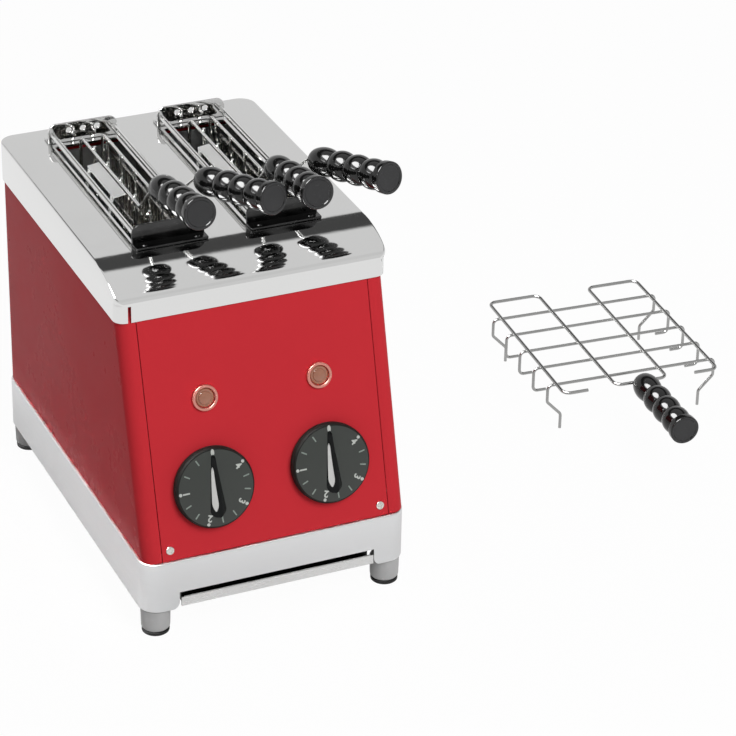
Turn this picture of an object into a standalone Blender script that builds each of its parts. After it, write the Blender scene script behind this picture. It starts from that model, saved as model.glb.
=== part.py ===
"""Two-slot counter toaster with wire sandwich tongs, and one loose tong half beside it.

Metres, +Z up, the front faces -Y. The toaster is drawn with x = 0 on its middle plane,
y = 0 at the foot of its front panel and z = 0 under its feet. At the end the whole set
is moved so that the origin lies in the middle of its footprint.
"""

import math

import bmesh
import bpy
from mathutils import Matrix, Vector

# Driving dimensions of the casing
BODY_WIDTH = 0.200
BODY_DEPTH = 0.303
TOTAL_HEIGHT = 0.261
BASE_TOP = 0.061
BASE_BOTTOM = 0.021
COVER_SKIRT = 0.030
SKIRT_BOTTOM = TOTAL_HEIGHT - COVER_SKIRT
FRONT_SETBACK = 0.046
SHEET = 0.0012
GAP = 0.0003
WELD = 0.00001
OVERCUT = 0.005
HALF_WIDTH = BODY_WIDTH / 2
LEAN = math.atan2(FRONT_SETBACK, SKIRT_BOTTOM - BASE_TOP)
LEAN_DIP = SHEET * math.sin(LEAN)

# Slots and what hangs in them
SLOT_PITCH = 0.086
SLOT_WIDTH = 0.048
SLOT_FRONT = 0.104
SLOT_TO_REAR = 0.031
SLOT_REAR = BODY_DEPTH - SLOT_TO_REAR
SLOT_MIDDLES = {"left": -SLOT_PITCH / 2, "right": SLOT_PITCH / 2}

# Collections and materials


def clear_scene():
    for item in list(bpy.data.objects):
        bpy.data.objects.remove(item)


def make_collection(name):
    collection = bpy.data.collections.new(name)
    bpy.context.scene.collection.children.link(collection)
    return collection


def make_material(name, colour, roughness, metallic):
    material = bpy.data.materials.new(name)
    material.use_nodes = True
    shader = material.node_tree.nodes["Principled BSDF"]
    shader.inputs["Base Color"].default_value = (*colour, 1.0)
    shader.inputs["Roughness"].default_value = roughness
    shader.inputs["Metallic"].default_value = metallic
    return material


clear_scene()
PARTS = make_collection("tong_toaster")
CUTTERS = make_collection("cutters")
MATERIALS = {
    "polished_steel": make_material("polished_steel", (0.72, 0.73, 0.73), 0.12, 1.0),
    "steel_wire": make_material("steel_wire", (0.60, 0.60, 0.61), 0.22, 1.0),
    "satin_alloy": make_material("satin_alloy", (0.66, 0.67, 0.68), 0.42, 1.0),
    "red_paint": make_material("red_paint", (0.58, 0.015, 0.03), 0.32, 0.35),
    "zinc_sheet": make_material("zinc_sheet", (0.45, 0.46, 0.47), 0.45, 1.0),
    "black_plastic": make_material("black_plastic", (0.016, 0.016, 0.017), 0.28, 0.0),
    "grey_plastic": make_material("grey_plastic", (0.30, 0.30, 0.31), 0.5, 0.0),
    "black_rubber": make_material("black_rubber", (0.012, 0.012, 0.012), 0.75, 0.0),
    "silver_foil": make_material("silver_foil", (0.55, 0.55, 0.53), 0.35, 0.8),
    "amber_lens": make_material("amber_lens", (0.32, 0.12, 0.04), 0.2, 0.0),
    "quartz": make_material("quartz", (0.72, 0.70, 0.66), 0.25, 0.0),
}

# Shape helpers


def as_part(item, name, material, smooth_angle=math.radians(35)):
    """Gives a finished object its name, its material and its place in the parts' collection."""
    item.name = name
    item.data.name = name
    for collection in list(item.users_collection):
        collection.objects.unlink(item)
    PARTS.objects.link(item)
    item.data.materials.clear()
    item.data.materials.append(MATERIALS[material])
    item.data.shade_smooth()
    item.data.set_sharp_from_angle(angle=smooth_angle)
    return item


def from_bmesh(name, mesh_builder):
    mesh = bpy.data.meshes.new(name)
    bmesh.ops.recalc_face_normals(mesh_builder, faces=mesh_builder.faces)
    mesh_builder.to_mesh(mesh)
    mesh_builder.free()
    item = bpy.data.objects.new(name, mesh)
    CUTTERS.objects.link(item)
    return item


def hide_helper(item):
    item.hide_render = True
    item.display_type = "WIRE"
    return item


def made_solid(item):
    """Replaces a curve or a modified mesh by the mesh that it shows, with its caps welded."""
    bpy.context.view_layer.update()
    graph = bpy.context.evaluated_depsgraph_get()
    mesh = bpy.data.meshes.new_from_object(item.evaluated_get(graph))
    welder = bmesh.new()
    welder.from_mesh(mesh)
    bmesh.ops.remove_doubles(welder, verts=welder.verts, dist=WELD)
    bmesh.ops.recalc_face_normals(welder, faces=welder.faces)
    welder.to_mesh(mesh)
    welder.free()
    made = bpy.data.objects.new(item.name, mesh)
    made.matrix_world = item.matrix_world.copy()
    CUTTERS.objects.link(made)
    bpy.data.objects.remove(item)
    return made


def box(low, high):
    """A box between two corners."""
    low, high = Vector(low), Vector(high)
    builder = bmesh.new()
    bmesh.ops.create_cube(builder, size=1.0)
    bmesh.ops.scale(builder, vec=high - low, verts=builder.verts)
    bmesh.ops.translate(builder, vec=(low + high) / 2, verts=builder.verts)
    return from_bmesh("box", builder)


def place(item, matrix):
    item.data.transform(matrix)
    return item


def arc(centre, radius, start, end, steps):
    """Points of an arc in a plane, from one angle to another in degrees."""
    points = []
    for step in range(steps + 1):
        angle = math.radians(start + (end - start) * step / steps)
        points.append((centre[0] + radius * math.cos(angle), centre[1] + radius * math.sin(angle)))
    return points


def rounded_box_outline(low, high, radii, steps=4):
    """Corner-rounded rectangle: radii run from the lower left corner counter-clockwise."""
    corners = [(low[0], low[1]), (high[0], low[1]), (high[0], high[1]), (low[0], high[1])]
    inward = [(1, 1), (-1, 1), (-1, -1), (1, -1)]
    points = []
    for corner, sign, radius, turn in zip(corners, inward, radii, (180, 270, 0, 90)):
        centre = (corner[0] + sign[0] * radius, corner[1] + sign[1] * radius)
        if radius > 0:
            points += arc(centre, radius, turn, turn + 90, steps)
        else:
            points.append(corner)
    return points


def prism(outlines, thickness, matrix=Matrix()):
    """A flat outline, with any holes after it, as a filled 2D curve extruded to its thickness."""
    curve = bpy.data.curves.new("outline", "CURVE")
    curve.dimensions = "2D"
    curve.fill_mode = "BOTH"
    curve.extrude = thickness / 2
    for outline in outlines:
        spline = curve.splines.new("POLY")
        spline.points.add(len(outline) - 1)
        for point, (across, along) in zip(spline.points, outline):
            point.co = (across, along, 0, 1)
        spline.use_cyclic_u = True
    item = bpy.data.objects.new("prism", curve)
    CUTTERS.objects.link(item)
    return place(made_solid(item), matrix)


def tube(points, radius, roundness=1):
    """A wire through points: roundness 0 gives four sides, 1 gives six and 2 gives eight."""
    curve = bpy.data.curves.new("wire", "CURVE")
    curve.dimensions = "3D"
    curve.bevel_depth = radius
    curve.bevel_resolution = roundness
    curve.use_fill_caps = True
    spline = curve.splines.new("POLY")
    spline.points.add(len(points) - 1)
    for point, place_of in zip(spline.points, points):
        point.co = (*place_of, 1)
    item = bpy.data.objects.new("wire", curve)
    CUTTERS.objects.link(item)
    return made_solid(item)


def turned(profile, steps, matrix=Matrix()):
    """A turned piece about its Z axis, from a profile of (radius, height) that runs top to bottom."""
    mesh = bpy.data.meshes.new("profile")
    points = [(radius, 0, height) for radius, height in profile]
    edges = [(index, index + 1) for index in range(len(points) - 1)]
    mesh.from_pydata(points, edges, [])
    item = bpy.data.objects.new("turned", mesh)
    CUTTERS.objects.link(item)
    screw = item.modifiers.new("turn", "SCREW")
    screw.steps = steps
    screw.render_steps = steps
    screw.use_merge_vertices = True
    screw.merge_threshold = WELD
    return place(made_solid(item), matrix)


def combine(item, others, operation):
    """Applies one Boolean after another, with the mesh welded between, and removes the used pieces."""
    for other in others:
        modifier = item.modifiers.new(operation.lower(), "BOOLEAN")
        modifier.operation = operation
        modifier.object = hide_helper(other)
        item = made_solid(item)
        bpy.data.objects.remove(other)
    return item


def cut(item, *cutters):
    return combine(item, cutters, "DIFFERENCE")


def join(item, *others):
    return combine(item, others, "UNION")


def common(item, *others):
    return combine(item, others, "INTERSECT")


def rounded_path(corners, radius, steps=2):
    """A wire's route through corner points, each inner corner turned on an arc of points."""
    corners = [Vector(corner) for corner in corners]
    points = [corners[0]]
    for before, corner, after in zip(corners, corners[1:], corners[2:]):
        back, ahead = (before - corner).normalized(), (after - corner).normalized()
        half_angle = back.angle(ahead) / 2
        reach = min(radius / math.tan(half_angle), (before - corner).length / 2, (after - corner).length / 2)
        start, end = corner + back * reach, corner + ahead * reach
        bisector = (back + ahead).normalized()
        centre = corner + bisector * (reach / math.cos(half_angle))
        first, last = start - centre, end - centre
        sweep = first.angle(last)
        for step in range(steps + 1):
            share = step / steps
            blend = (first * math.sin((1 - share) * sweep) + last * math.sin(share * sweep)) / math.sin(sweep)
            points.append(centre + blend)
    points.append(corners[-1])
    return points



# Places on the leaning front panel: across it, up it from the base, and out of it
PANEL_UP = Vector((0, math.sin(LEAN), math.cos(LEAN)))
PANEL_OUT = Vector((0, -math.cos(LEAN), math.sin(LEAN)))


def on_front(across, up, out=0.0):
    """Matrix whose Z axis points out of the front panel at that place."""
    origin = Vector((across, 0, BASE_TOP)) + PANEL_UP * up + PANEL_OUT * out
    matrix = Matrix((Vector((1, 0, 0)), PANEL_UP, PANEL_OUT)).transposed().to_4x4()
    matrix.translation = origin
    return matrix


def upright(depth):
    """Matrix that stands an outline drawn across and up in a plane at this depth, facing the front."""
    return Matrix.Translation((0, depth, 0)) @ Matrix.Rotation(math.radians(90), 4, "X")


def sideways(across):
    """Matrix that stands an outline drawn along the depth and up in a plane at this distance across."""
    turn = Matrix.Rotation(math.radians(90), 4, "Z") @ Matrix.Rotation(math.radians(90), 4, "X")
    return Matrix.Translation((across, 0, 0)) @ turn


# Base: an alloy frame on four feet

BASE_PROUD = 0.0015
BASE_WALL = 0.004
BASE_LEDGE = 0.003
BASE_LEDGE_WIDTH = 0.014
BASE_CORNER = 0.014
BASE_EDGE = 0.0012
BASE_OUT = HALF_WIDTH + BASE_PROUD
BASE_FRONT = -BASE_PROUD
BASE_REAR = BODY_DEPTH + BASE_PROUD
TRAY_GATE_HEIGHT = 0.0125
TRAY_GATE_TOP = BASE_BOTTOM + TRAY_GATE_HEIGHT
TRAY_GATE_HALF = 0.075
GATE_CORNER = 0.0065
BOSS_RADIUS = 0.0095
FOOT_INSET = 0.0125
STUD_RADIUS = 0.0035
STUD_LENGTH = 0.012
FOOT_RADIUS = 0.0108
FOOT_TAPER = 0.0007
PAD_HEIGHT = 0.0047
PAD_PROUD = 0.0004
PAD_EDGE = 0.0012
FOOT_PLACES = {
    "front_left": (-BASE_OUT + FOOT_INSET, BASE_FRONT + FOOT_INSET),
    "front_right": (BASE_OUT - FOOT_INSET, BASE_FRONT + FOOT_INSET),
    "rear_left": (-BASE_OUT + FOOT_INSET, BASE_REAR - FOOT_INSET),
    "rear_right": (BASE_OUT - FOOT_INSET, BASE_REAR - FOOT_INSET),
}


def base_plan(inset):
    low = (-BASE_OUT + inset, BASE_FRONT + inset)
    high = (BASE_OUT - inset, BASE_REAR - inset)
    return rounded_box_outline(low, high, [max(BASE_CORNER - inset, BASE_WALL)] * 4)


def slab(outline, bottom, top):
    """A plan outline extruded between two heights."""
    return prism([outline], top - bottom, Matrix.Translation((0, 0, (bottom + top) / 2)))


def bevel_rims(item, width, heights):
    """Rounds the edges that lie flat at any of these heights."""
    builder = bmesh.new()
    builder.from_mesh(item.data)
    rims = [
        edge
        for edge in builder.edges
        if len(edge.link_faces) == 2
        and any(all(abs(vert.co.z - height) < WELD for vert in edge.verts) for height in heights)
        and edge.calc_face_angle(0) > math.radians(60)
    ]
    bmesh.ops.bevel(builder, geom=rims, offset=width, segments=1, profile=0.5, affect="EDGES")
    builder.to_mesh(item.data)
    builder.free()
    return item


def make_base_frame():
    frame = bevel_rims(slab(base_plan(0), BASE_BOTTOM, BASE_TOP), BASE_EDGE, (BASE_TOP, BASE_BOTTOM))
    hollow = slab(base_plan(BASE_WALL), BASE_BOTTOM - OVERCUT, BASE_TOP - BASE_LEDGE)
    window = slab(base_plan(BASE_LEDGE_WIDTH), BASE_BOTTOM, BASE_TOP + OVERCUT)
    frame = cut(frame, hollow, window)
    bosses = []
    for across, depth in FOOT_PLACES.values():
        profile = [(0, BASE_TOP - BASE_LEDGE / 2), (BOSS_RADIUS, BASE_TOP - BASE_LEDGE / 2),
                   (BOSS_RADIUS, BASE_BOTTOM), (0, BASE_BOTTOM)]
        bosses.append(turned(profile, 16, Matrix.Translation((across, depth, 0))))
    frame = join(frame, *bosses)
    holes = []
    for across, depth in FOOT_PLACES.values():
        deep = BASE_BOTTOM + STUD_LENGTH + GAP
        profile = [(0, deep), (STUD_RADIUS + GAP, deep),
                   (STUD_RADIUS + GAP, BASE_BOTTOM - OVERCUT), (0, BASE_BOTTOM - OVERCUT)]
        holes.append(turned(profile, 10, Matrix.Translation((across, depth, 0))))
    gate_bottom = BASE_BOTTOM - OVERCUT
    left_foot = arc((-TRAY_GATE_HALF - GATE_CORNER, BASE_BOTTOM + GATE_CORNER), GATE_CORNER, 270, 360, 3)
    right_foot = arc((TRAY_GATE_HALF + GATE_CORNER, BASE_BOTTOM + GATE_CORNER), GATE_CORNER, 180, 270, 3)
    outline = [(TRAY_GATE_HALF, TRAY_GATE_TOP), (-TRAY_GATE_HALF, TRAY_GATE_TOP)]
    outline += list(reversed(left_foot)) + [(-TRAY_GATE_HALF - GATE_CORNER, gate_bottom)]
    outline += [(TRAY_GATE_HALF + GATE_CORNER, gate_bottom)] + list(reversed(right_foot))
    gate_depth = BASE_WALL + OVERCUT
    gate = prism([outline], gate_depth, upright(BASE_FRONT + BASE_WALL / 2))
    return as_part(cut(frame, gate, *holes), "base_frame", "satin_alloy")


def make_feet():
    for name, (across, depth) in FOOT_PLACES.items():
        spot = Matrix.Translation((across, depth, 0))
        top = BASE_BOTTOM - GAP
        stud_top = BASE_BOTTOM + STUD_LENGTH
        profile = [(0, stud_top), (STUD_RADIUS, stud_top), (STUD_RADIUS, top),
                   (FOOT_RADIUS, top), (FOOT_RADIUS - FOOT_TAPER, PAD_HEIGHT + GAP), (0, PAD_HEIGHT + GAP)]
        as_part(turned(profile, 20, spot), "foot_" + name, "grey_plastic")
        wide = FOOT_RADIUS + PAD_PROUD
        profile = [(0, PAD_HEIGHT), (wide - PAD_EDGE, PAD_HEIGHT), (wide, PAD_HEIGHT - PAD_EDGE),
                   (wide, PAD_EDGE), (wide - PAD_EDGE, 0), (0, 0)]
        as_part(turned(profile, 20, spot), "foot_pad_" + name, "black_rubber")


# Crumb tray on its bottom plate

PLATE_RISE = 0.0015
PLATE_BOTTOM = BASE_BOTTOM + PLATE_RISE
PLATE_TOP = PLATE_BOTTOM + SHEET
PLATE_HALF = BASE_OUT - BASE_WALL - GAP
PLATE_CLEAR = 0.001
TRAY_HALF = 0.072
TRAY_LIP_HALF = TRAY_GATE_HALF - 0.001
TRAY_SHORT = 0.013
TRAY_REAR = BODY_DEPTH - TRAY_SHORT
TRAY_WALL_HEIGHT = 0.0075
TRAY_LIP_CLEAR = 0.0023
TRAY_LIP_TOP = TRAY_GATE_TOP - TRAY_LIP_CLEAR
TRAY_LIP_OUT = 0.0012
TRAY_LIP_FOLD = 0.008
TRAY_BOTTOM = PLATE_TOP + GAP


def make_bottom_plate():
    front = BASE_FRONT + FOOT_INSET + BOSS_RADIUS + PLATE_CLEAR
    rear = BASE_REAR - FOOT_INSET - BOSS_RADIUS - PLATE_CLEAR
    plate = box((-PLATE_HALF, front, PLATE_BOTTOM), (PLATE_HALF, rear, PLATE_TOP))
    as_part(plate, "bottom_plate", "zinc_sheet")


def make_crumb_tray():
    front = BASE_FRONT - TRAY_LIP_OUT
    wall_top = TRAY_BOTTOM + TRAY_WALL_HEIGHT
    tray = box((-TRAY_HALF, front + SHEET / 2, TRAY_BOTTOM), (TRAY_HALF, TRAY_REAR, wall_top))
    hollow = box((-TRAY_HALF + SHEET, front + TRAY_LIP_FOLD, TRAY_BOTTOM + SHEET),
                 (TRAY_HALF - SHEET, TRAY_REAR - SHEET, wall_top + OVERCUT))
    lip_hollow = box((-TRAY_LIP_HALF, front + SHEET, TRAY_BOTTOM + SHEET),
                     (TRAY_LIP_HALF, front + TRAY_LIP_FOLD - SHEET, wall_top + OVERCUT))
    lip = box((-TRAY_LIP_HALF, front, TRAY_BOTTOM), (TRAY_LIP_HALF, front + SHEET, TRAY_LIP_TOP))
    as_part(join(cut(tray, hollow, lip_hollow), lip), "crumb_tray", "satin_alloy")


# Casing: two painted side panels, a front and a rear panel, and the polished top cover

PANEL_BOTTOM = BASE_TOP + GAP
PANEL_IN_COVER = 0.012
PANEL_TOP = SKIRT_BOTTOM + PANEL_IN_COVER
FRONT_FLANGE = 0.013
REAR_FLANGE = 0.012
FRONT_BEND = 0.009
REAR_BEND = 0.011
BEND_STEPS = 4
SEAM = 0.0005
FRONT_PANEL_HALF = HALF_WIDTH - FRONT_FLANGE - SEAM
REAR_PANEL_HALF = HALF_WIDTH - REAR_FLANGE - SEAM
COVER_CLEAR = GAP
COVER_OUT = HALF_WIDTH + COVER_CLEAR + SHEET
COVER_FRONT = FRONT_SETBACK - COVER_CLEAR - SHEET
COVER_REAR = BODY_DEPTH + COVER_CLEAR + SHEET
COVER_STRIP = 0.013
COVER_STRIP_TOP = SKIRT_BOTTOM + COVER_STRIP
COVER_CURVE_END_BEFORE_SLOT = 0.012
COVER_CURVE_START = SLOT_FRONT - COVER_CURVE_END_BEFORE_SLOT
COVER_FRONT_CORNER = 0.008
COVER_REAR_CORNER = 0.0125
CURVE_STEPS = 10
LOUVRE_COUNT = 7
LOUVRE_PITCH = 0.012
LOUVRE_HALF_LENGTH = 0.045
LOUVRE_HEIGHT = 0.004
LOUVRE_FIRST = 0.130
SHAFT_RADIUS = 0.003
SHAFT_HOLE = 0.005
LAMP_HOLE = 0.0063
KNOB_ACROSS = 0.0442
KNOB_UP = 0.0487
LAMP_ACROSS = 0.0432
LAMP_UP = 0.1130
SCREW_ACROSS = 0.0805
SCREW_UP = 0.0083
SCREW_RADIUS = 0.0030
SCREW_SHANK = 0.0016
SCREW_HEAD = 0.0014
SCREW_EDGE = 0.0012
SCREW_DEPTH = 0.008
CROSS_LENGTH = 0.0036
CROSS_WIDTH = 0.0008
CROSS_DEPTH = 0.0007
GLAND_ACROSS = 0.060
GLAND_HEIGHT = 0.085
GLAND_HOLE = 0.0065


def front_shift(height):
    """How far the leaning front stands back at this height."""
    return (height - BASE_TOP) * math.tan(LEAN)


def make_side_panel(side, sign):
    """A sheet bent round the front and rear corners: its plan at two heights, lofted and thickened."""
    front_bend = arc((HALF_WIDTH - FRONT_BEND, FRONT_BEND), FRONT_BEND, 270, 360, BEND_STEPS)
    rear_bend = arc((HALF_WIDTH - REAR_BEND, BODY_DEPTH - REAR_BEND), REAR_BEND, 0, 90, BEND_STEPS)
    front_points = [(HALF_WIDTH - FRONT_FLANGE, 0)] + front_bend
    rear_points = rear_bend + [(HALF_WIDTH - REAR_FLANGE, BODY_DEPTH)]
    builder = bmesh.new()
    rows = []
    for height in (PANEL_BOTTOM + LEAN_DIP, PANEL_TOP):
        row = [(across, depth + front_shift(height)) for across, depth in front_points] + rear_points
        rows.append([builder.verts.new((sign * across, depth, height)) for across, depth in row])
    for lower, upper in zip(zip(rows[0], rows[0][1:]), zip(rows[1], rows[1][1:])):
        corners = (lower[0], lower[1], upper[1], upper[0])
        builder.faces.new(corners if sign > 0 else corners[::-1])
    mesh = bpy.data.meshes.new("side")
    builder.to_mesh(mesh)
    builder.free()
    item = bpy.data.objects.new("side", mesh)
    CUTTERS.objects.link(item)
    wall = item.modifiers.new("wall", "SOLIDIFY")
    wall.thickness = SHEET
    wall.offset = -1
    wall.use_even_offset = True
    as_part(made_solid(item), side + "_side_panel", "red_paint")


def hole(radius, matrix, length=OVERCUT, steps=16):
    """A round cutter along the Z axis of a place."""
    return turned([(0, length), (radius, length), (radius, -length), (0, -length)], steps, matrix)


def make_front_panel():
    low = (-FRONT_PANEL_HALF, (GAP + LEAN_DIP) / math.cos(LEAN))
    high = (FRONT_PANEL_HALF, (PANEL_TOP - BASE_TOP) / math.cos(LEAN))
    holes = []
    for sign in (-1, 1):
        holes.append(hole(SHAFT_HOLE, on_front(sign * KNOB_ACROSS, KNOB_UP)))
        holes.append(hole(LAMP_HOLE, on_front(sign * LAMP_ACROSS, LAMP_UP)))
        holes.append(hole(SCREW_SHANK + GAP, on_front(sign * SCREW_ACROSS, SCREW_UP), steps=8))
    sheet = prism([rounded_box_outline(low, high, [0] * 4)], SHEET, on_front(0, 0, -SHEET / 2))
    as_part(cut(sheet, *holes), "front_panel", "red_paint")


def make_rear_panel():
    low, high = (-REAR_PANEL_HALF, PANEL_BOTTOM), (REAR_PANEL_HALF, PANEL_TOP)
    outlines = [rounded_box_outline(low, high, [0] * 4)]
    for row in range(LOUVRE_COUNT):
        bottom = LOUVRE_FIRST + row * LOUVRE_PITCH
        slot_low, slot_high = (-LOUVRE_HALF_LENGTH, bottom), (LOUVRE_HALF_LENGTH, bottom + LOUVRE_HEIGHT)
        outlines.append(rounded_box_outline(slot_low, slot_high, [LOUVRE_HEIGHT / 2] * 4, 2))
    outlines.append(arc((GLAND_ACROSS, GLAND_HEIGHT), GLAND_HOLE, 0, 337.5, 15))
    sheet = prism(outlines, SHEET, upright(BODY_DEPTH - SHEET / 2))
    as_part(sheet, "rear_panel", "red_paint")


def cover_block(inset, bottom):
    """The cover's outer form moved inwards: what its extruded side view and plan share."""
    front, rear, top = COVER_FRONT + inset, COVER_REAR - inset, TOTAL_HEIGHT - inset
    side_view = [(rear, bottom), (rear, top)]
    for step in range(CURVE_STEPS + 1):
        angle = math.radians(90) * step / CURVE_STEPS
        along = COVER_CURVE_START - (COVER_CURVE_START - front) * math.sin(angle)
        up = COVER_STRIP_TOP + (top - COVER_STRIP_TOP) * math.cos(angle)
        side_view.append((along, up))
    side_view.append((front, bottom))
    wide = 2 * (COVER_OUT + OVERCUT)
    side_form = prism([side_view], wide, sideways(0))
    corners = [COVER_FRONT_CORNER - inset] * 2 + [COVER_REAR_CORNER - inset] * 2
    plan = rounded_box_outline((-COVER_OUT + inset, front), (COVER_OUT - inset, rear), corners)
    return common(side_form, slab(plan, bottom - OVERCUT, TOTAL_HEIGHT + OVERCUT))


def make_top_cover():
    shell = cut(cover_block(0, SKIRT_BOTTOM), cover_block(SHEET, SKIRT_BOTTOM - OVERCUT))
    openings = []
    for middle in SLOT_MIDDLES.values():
        low = (middle - SLOT_WIDTH / 2, SLOT_FRONT, TOTAL_HEIGHT - OVERCUT)
        high = (middle + SLOT_WIDTH / 2, SLOT_REAR, TOTAL_HEIGHT + OVERCUT)
        openings.append(box(low, high))
    as_part(cut(shell, *openings), "top_cover", "polished_steel")


def make_screws():
    for side, sign in (("left", -1), ("right", 1)):
        spot = on_front(sign * SCREW_ACROSS, SCREW_UP)
        profile = [(0, SCREW_HEAD), (SCREW_RADIUS - SCREW_EDGE, SCREW_HEAD), (SCREW_RADIUS, SCREW_HEAD / 2),
                   (SCREW_RADIUS, GAP), (SCREW_SHANK, GAP), (SCREW_SHANK, -SCREW_DEPTH), (0, -SCREW_DEPTH)]
        screw = turned(profile, 12, spot)
        cutters = []
        half_length, half_width = CROSS_LENGTH / 2, CROSS_WIDTH / 2
        for half_long, half_wide in ((half_length, half_width), (half_width, half_length)):
            low = (-half_long, -half_wide, SCREW_HEAD - CROSS_DEPTH)
            high = (half_long, half_wide, SCREW_HEAD + CROSS_DEPTH)
            cutters.append(place(box(low, high), spot))
        as_part(cut(screw, *cutters), "front_screw_" + side, "steel_wire")


GLAND_FLANGE = 0.0095
GLAND_FLANGE_DEPTH = 0.003
GLAND_BORE = 0.0037
GLAND_TUBE = 0.016
GLAND_TIP = 0.0055
GLAND_SHOULDER = 0.0076


def make_cord_gland():
    """The bushing that the mains lead leaves by, in the rear panel."""
    facing_rear = Matrix.Rotation(math.radians(-90), 4, "X")
    spot = Matrix.Translation((GLAND_ACROSS, BODY_DEPTH, GLAND_HEIGHT)) @ facing_rear
    barrel = GLAND_HOLE - GAP
    profile = [(GLAND_BORE, GLAND_TUBE), (GLAND_TIP, GLAND_TUBE), (GLAND_SHOULDER, GAP + GLAND_FLANGE_DEPTH),
               (GLAND_FLANGE, GAP + GLAND_FLANGE_DEPTH), (GLAND_FLANGE, GAP), (barrel, GAP),
               (barrel, -GLAND_TUBE / 2), (GLAND_BORE, -GLAND_TUBE / 2), (GLAND_BORE, GLAND_TUBE)]
    as_part(turned(profile, 16, spot), "cord_gland", "black_plastic")


# Controls: timers, knobs and pilot lamps

TIMER_HALF = 0.019
TIMER_DEPTH = 0.030
TIMER_EAR = 0.004
SHAFT_DEPTH = 0.009
KNOB_RADIUS = 0.0295
KNOB_FACE_RADIUS = 0.0284
KNOB_HEIGHT = 0.0075
KNOB_BACK = 0.0008
KNOB_EDGE = 0.0016
RIDGE_LENGTH = 0.046
RIDGE_WIDTH = 0.0125
RIDGE_TIP = 0.0016
RIDGE_TOP = 0.0165
RIDGE_TIP_UP = 0.0245
RIDGE_EDGE = 0.0012
INLAY_THICKNESS = 0.0006
INLAY_MARGIN = 0.0024
INLAY_TIP_MARGIN = 0.012
BEZEL_RADIUS = 0.0095
BEZEL_INNER = 0.0072
BEZEL_HEIGHT = 0.0026
BEZEL_EDGE = 0.0009
LENS_RADIUS = 0.0070
LENS_BARREL = 0.0059
LENS_HEIGHT = 0.0021
LENS_CROWN = 0.0008
LENS_SHOULDER = 0.0042
LENS_SHOULDER_DROP = 0.00027
LENS_DEPTH = 0.014


def teardrop(length, width, tip_radius, tip_up, steps=5):
    """Pointer outline: a small round tip at the top and a broad round end below, joined by tangents."""
    broad = width / 2
    top = (0, tip_up - tip_radius)
    bottom = (0, tip_up - length + broad)
    tilt = math.degrees(math.asin((broad - tip_radius) / (top[1] - bottom[1])))
    tip = arc(top, tip_radius, tilt, 180 - tilt, steps)
    return tip + arc(bottom, broad, 180 - tilt, 360 + tilt, 2 * steps)


def make_controls():
    for side, sign in (("left", -1), ("right", 1)):
        spot = on_front(sign * KNOB_ACROSS, KNOB_UP)
        behind = -SHEET - GAP
        body = box((-TIMER_HALF, -TIMER_HALF, behind - TIMER_DEPTH), (TIMER_HALF, TIMER_HALF, behind))
        socket = hole(SHAFT_RADIUS + GAP, Matrix.Translation((0, 0, behind)), SHAFT_DEPTH, 12)
        ear_end = TIMER_HALF + TIMER_EAR
        ears = box((-ear_end, -TIMER_EAR, behind - TIMER_EAR), (ear_end, TIMER_EAR, behind))
        as_part(place(cut(join(body, ears), socket), spot), side + "_timer", "zinc_sheet")

        skirt_profile = [(0, KNOB_HEIGHT), (KNOB_FACE_RADIUS, KNOB_HEIGHT),
                         (KNOB_RADIUS, KNOB_HEIGHT - KNOB_EDGE), (KNOB_RADIUS, KNOB_BACK),
                         (SHAFT_RADIUS, KNOB_BACK), (SHAFT_RADIUS, -SHAFT_DEPTH), (0, -SHAFT_DEPTH)]
        skirt = turned(skirt_profile, 32)
        outline = teardrop(RIDGE_LENGTH, RIDGE_WIDTH, RIDGE_TIP, RIDGE_TIP_UP)
        low = KNOB_HEIGHT - KNOB_EDGE
        ridge = prism([outline], RIDGE_TOP - low, Matrix.Translation((0, 0, (low + RIDGE_TOP) / 2)))
        ridge = bevel_rims(ridge, RIDGE_EDGE, (RIDGE_TOP,))
        knob = as_part(place(join(skirt, ridge), Matrix()), side + "_knob", "black_plastic")
        knob.matrix_world = spot

        inlay_length = RIDGE_LENGTH - INLAY_MARGIN - INLAY_TIP_MARGIN
        inlay_width = RIDGE_WIDTH - 2 * INLAY_MARGIN
        inlay_outline = teardrop(inlay_length, inlay_width, RIDGE_TIP / 2, RIDGE_TIP_UP - INLAY_TIP_MARGIN)
        lift = RIDGE_TOP + GAP + INLAY_THICKNESS / 2
        inlay = as_part(prism([inlay_outline], INLAY_THICKNESS, Matrix.Translation((0, 0, lift))),
                        side + "_knob_inlay", "silver_foil")
        inlay.parent = knob

        spot = on_front(sign * LAMP_ACROSS, LAMP_UP)
        ring = [(BEZEL_INNER, BEZEL_HEIGHT - BEZEL_EDGE), (BEZEL_INNER + BEZEL_EDGE, BEZEL_HEIGHT),
                (BEZEL_RADIUS - BEZEL_EDGE, BEZEL_HEIGHT), (BEZEL_RADIUS, BEZEL_HEIGHT - BEZEL_EDGE),
                (BEZEL_RADIUS, GAP), (BEZEL_INNER, GAP), (BEZEL_INNER, BEZEL_HEIGHT - BEZEL_EDGE)]
        as_part(turned(ring, 16, spot), side + "_lamp_bezel", "polished_steel")
        lens = [(0, LENS_HEIGHT), (LENS_SHOULDER, LENS_HEIGHT - LENS_SHOULDER_DROP),
                (LENS_RADIUS - GAP, LENS_HEIGHT - LENS_CROWN), (LENS_RADIUS - GAP, GAP), (LENS_BARREL, GAP),
                (LENS_BARREL, -LENS_DEPTH), (0, -LENS_DEPTH)]
        as_part(turned(lens, 16, spot), side + "_lamp_lens", "amber_lens")


# Sizes of the wire tongs, which the guards' rests and the slot frames also use

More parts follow.
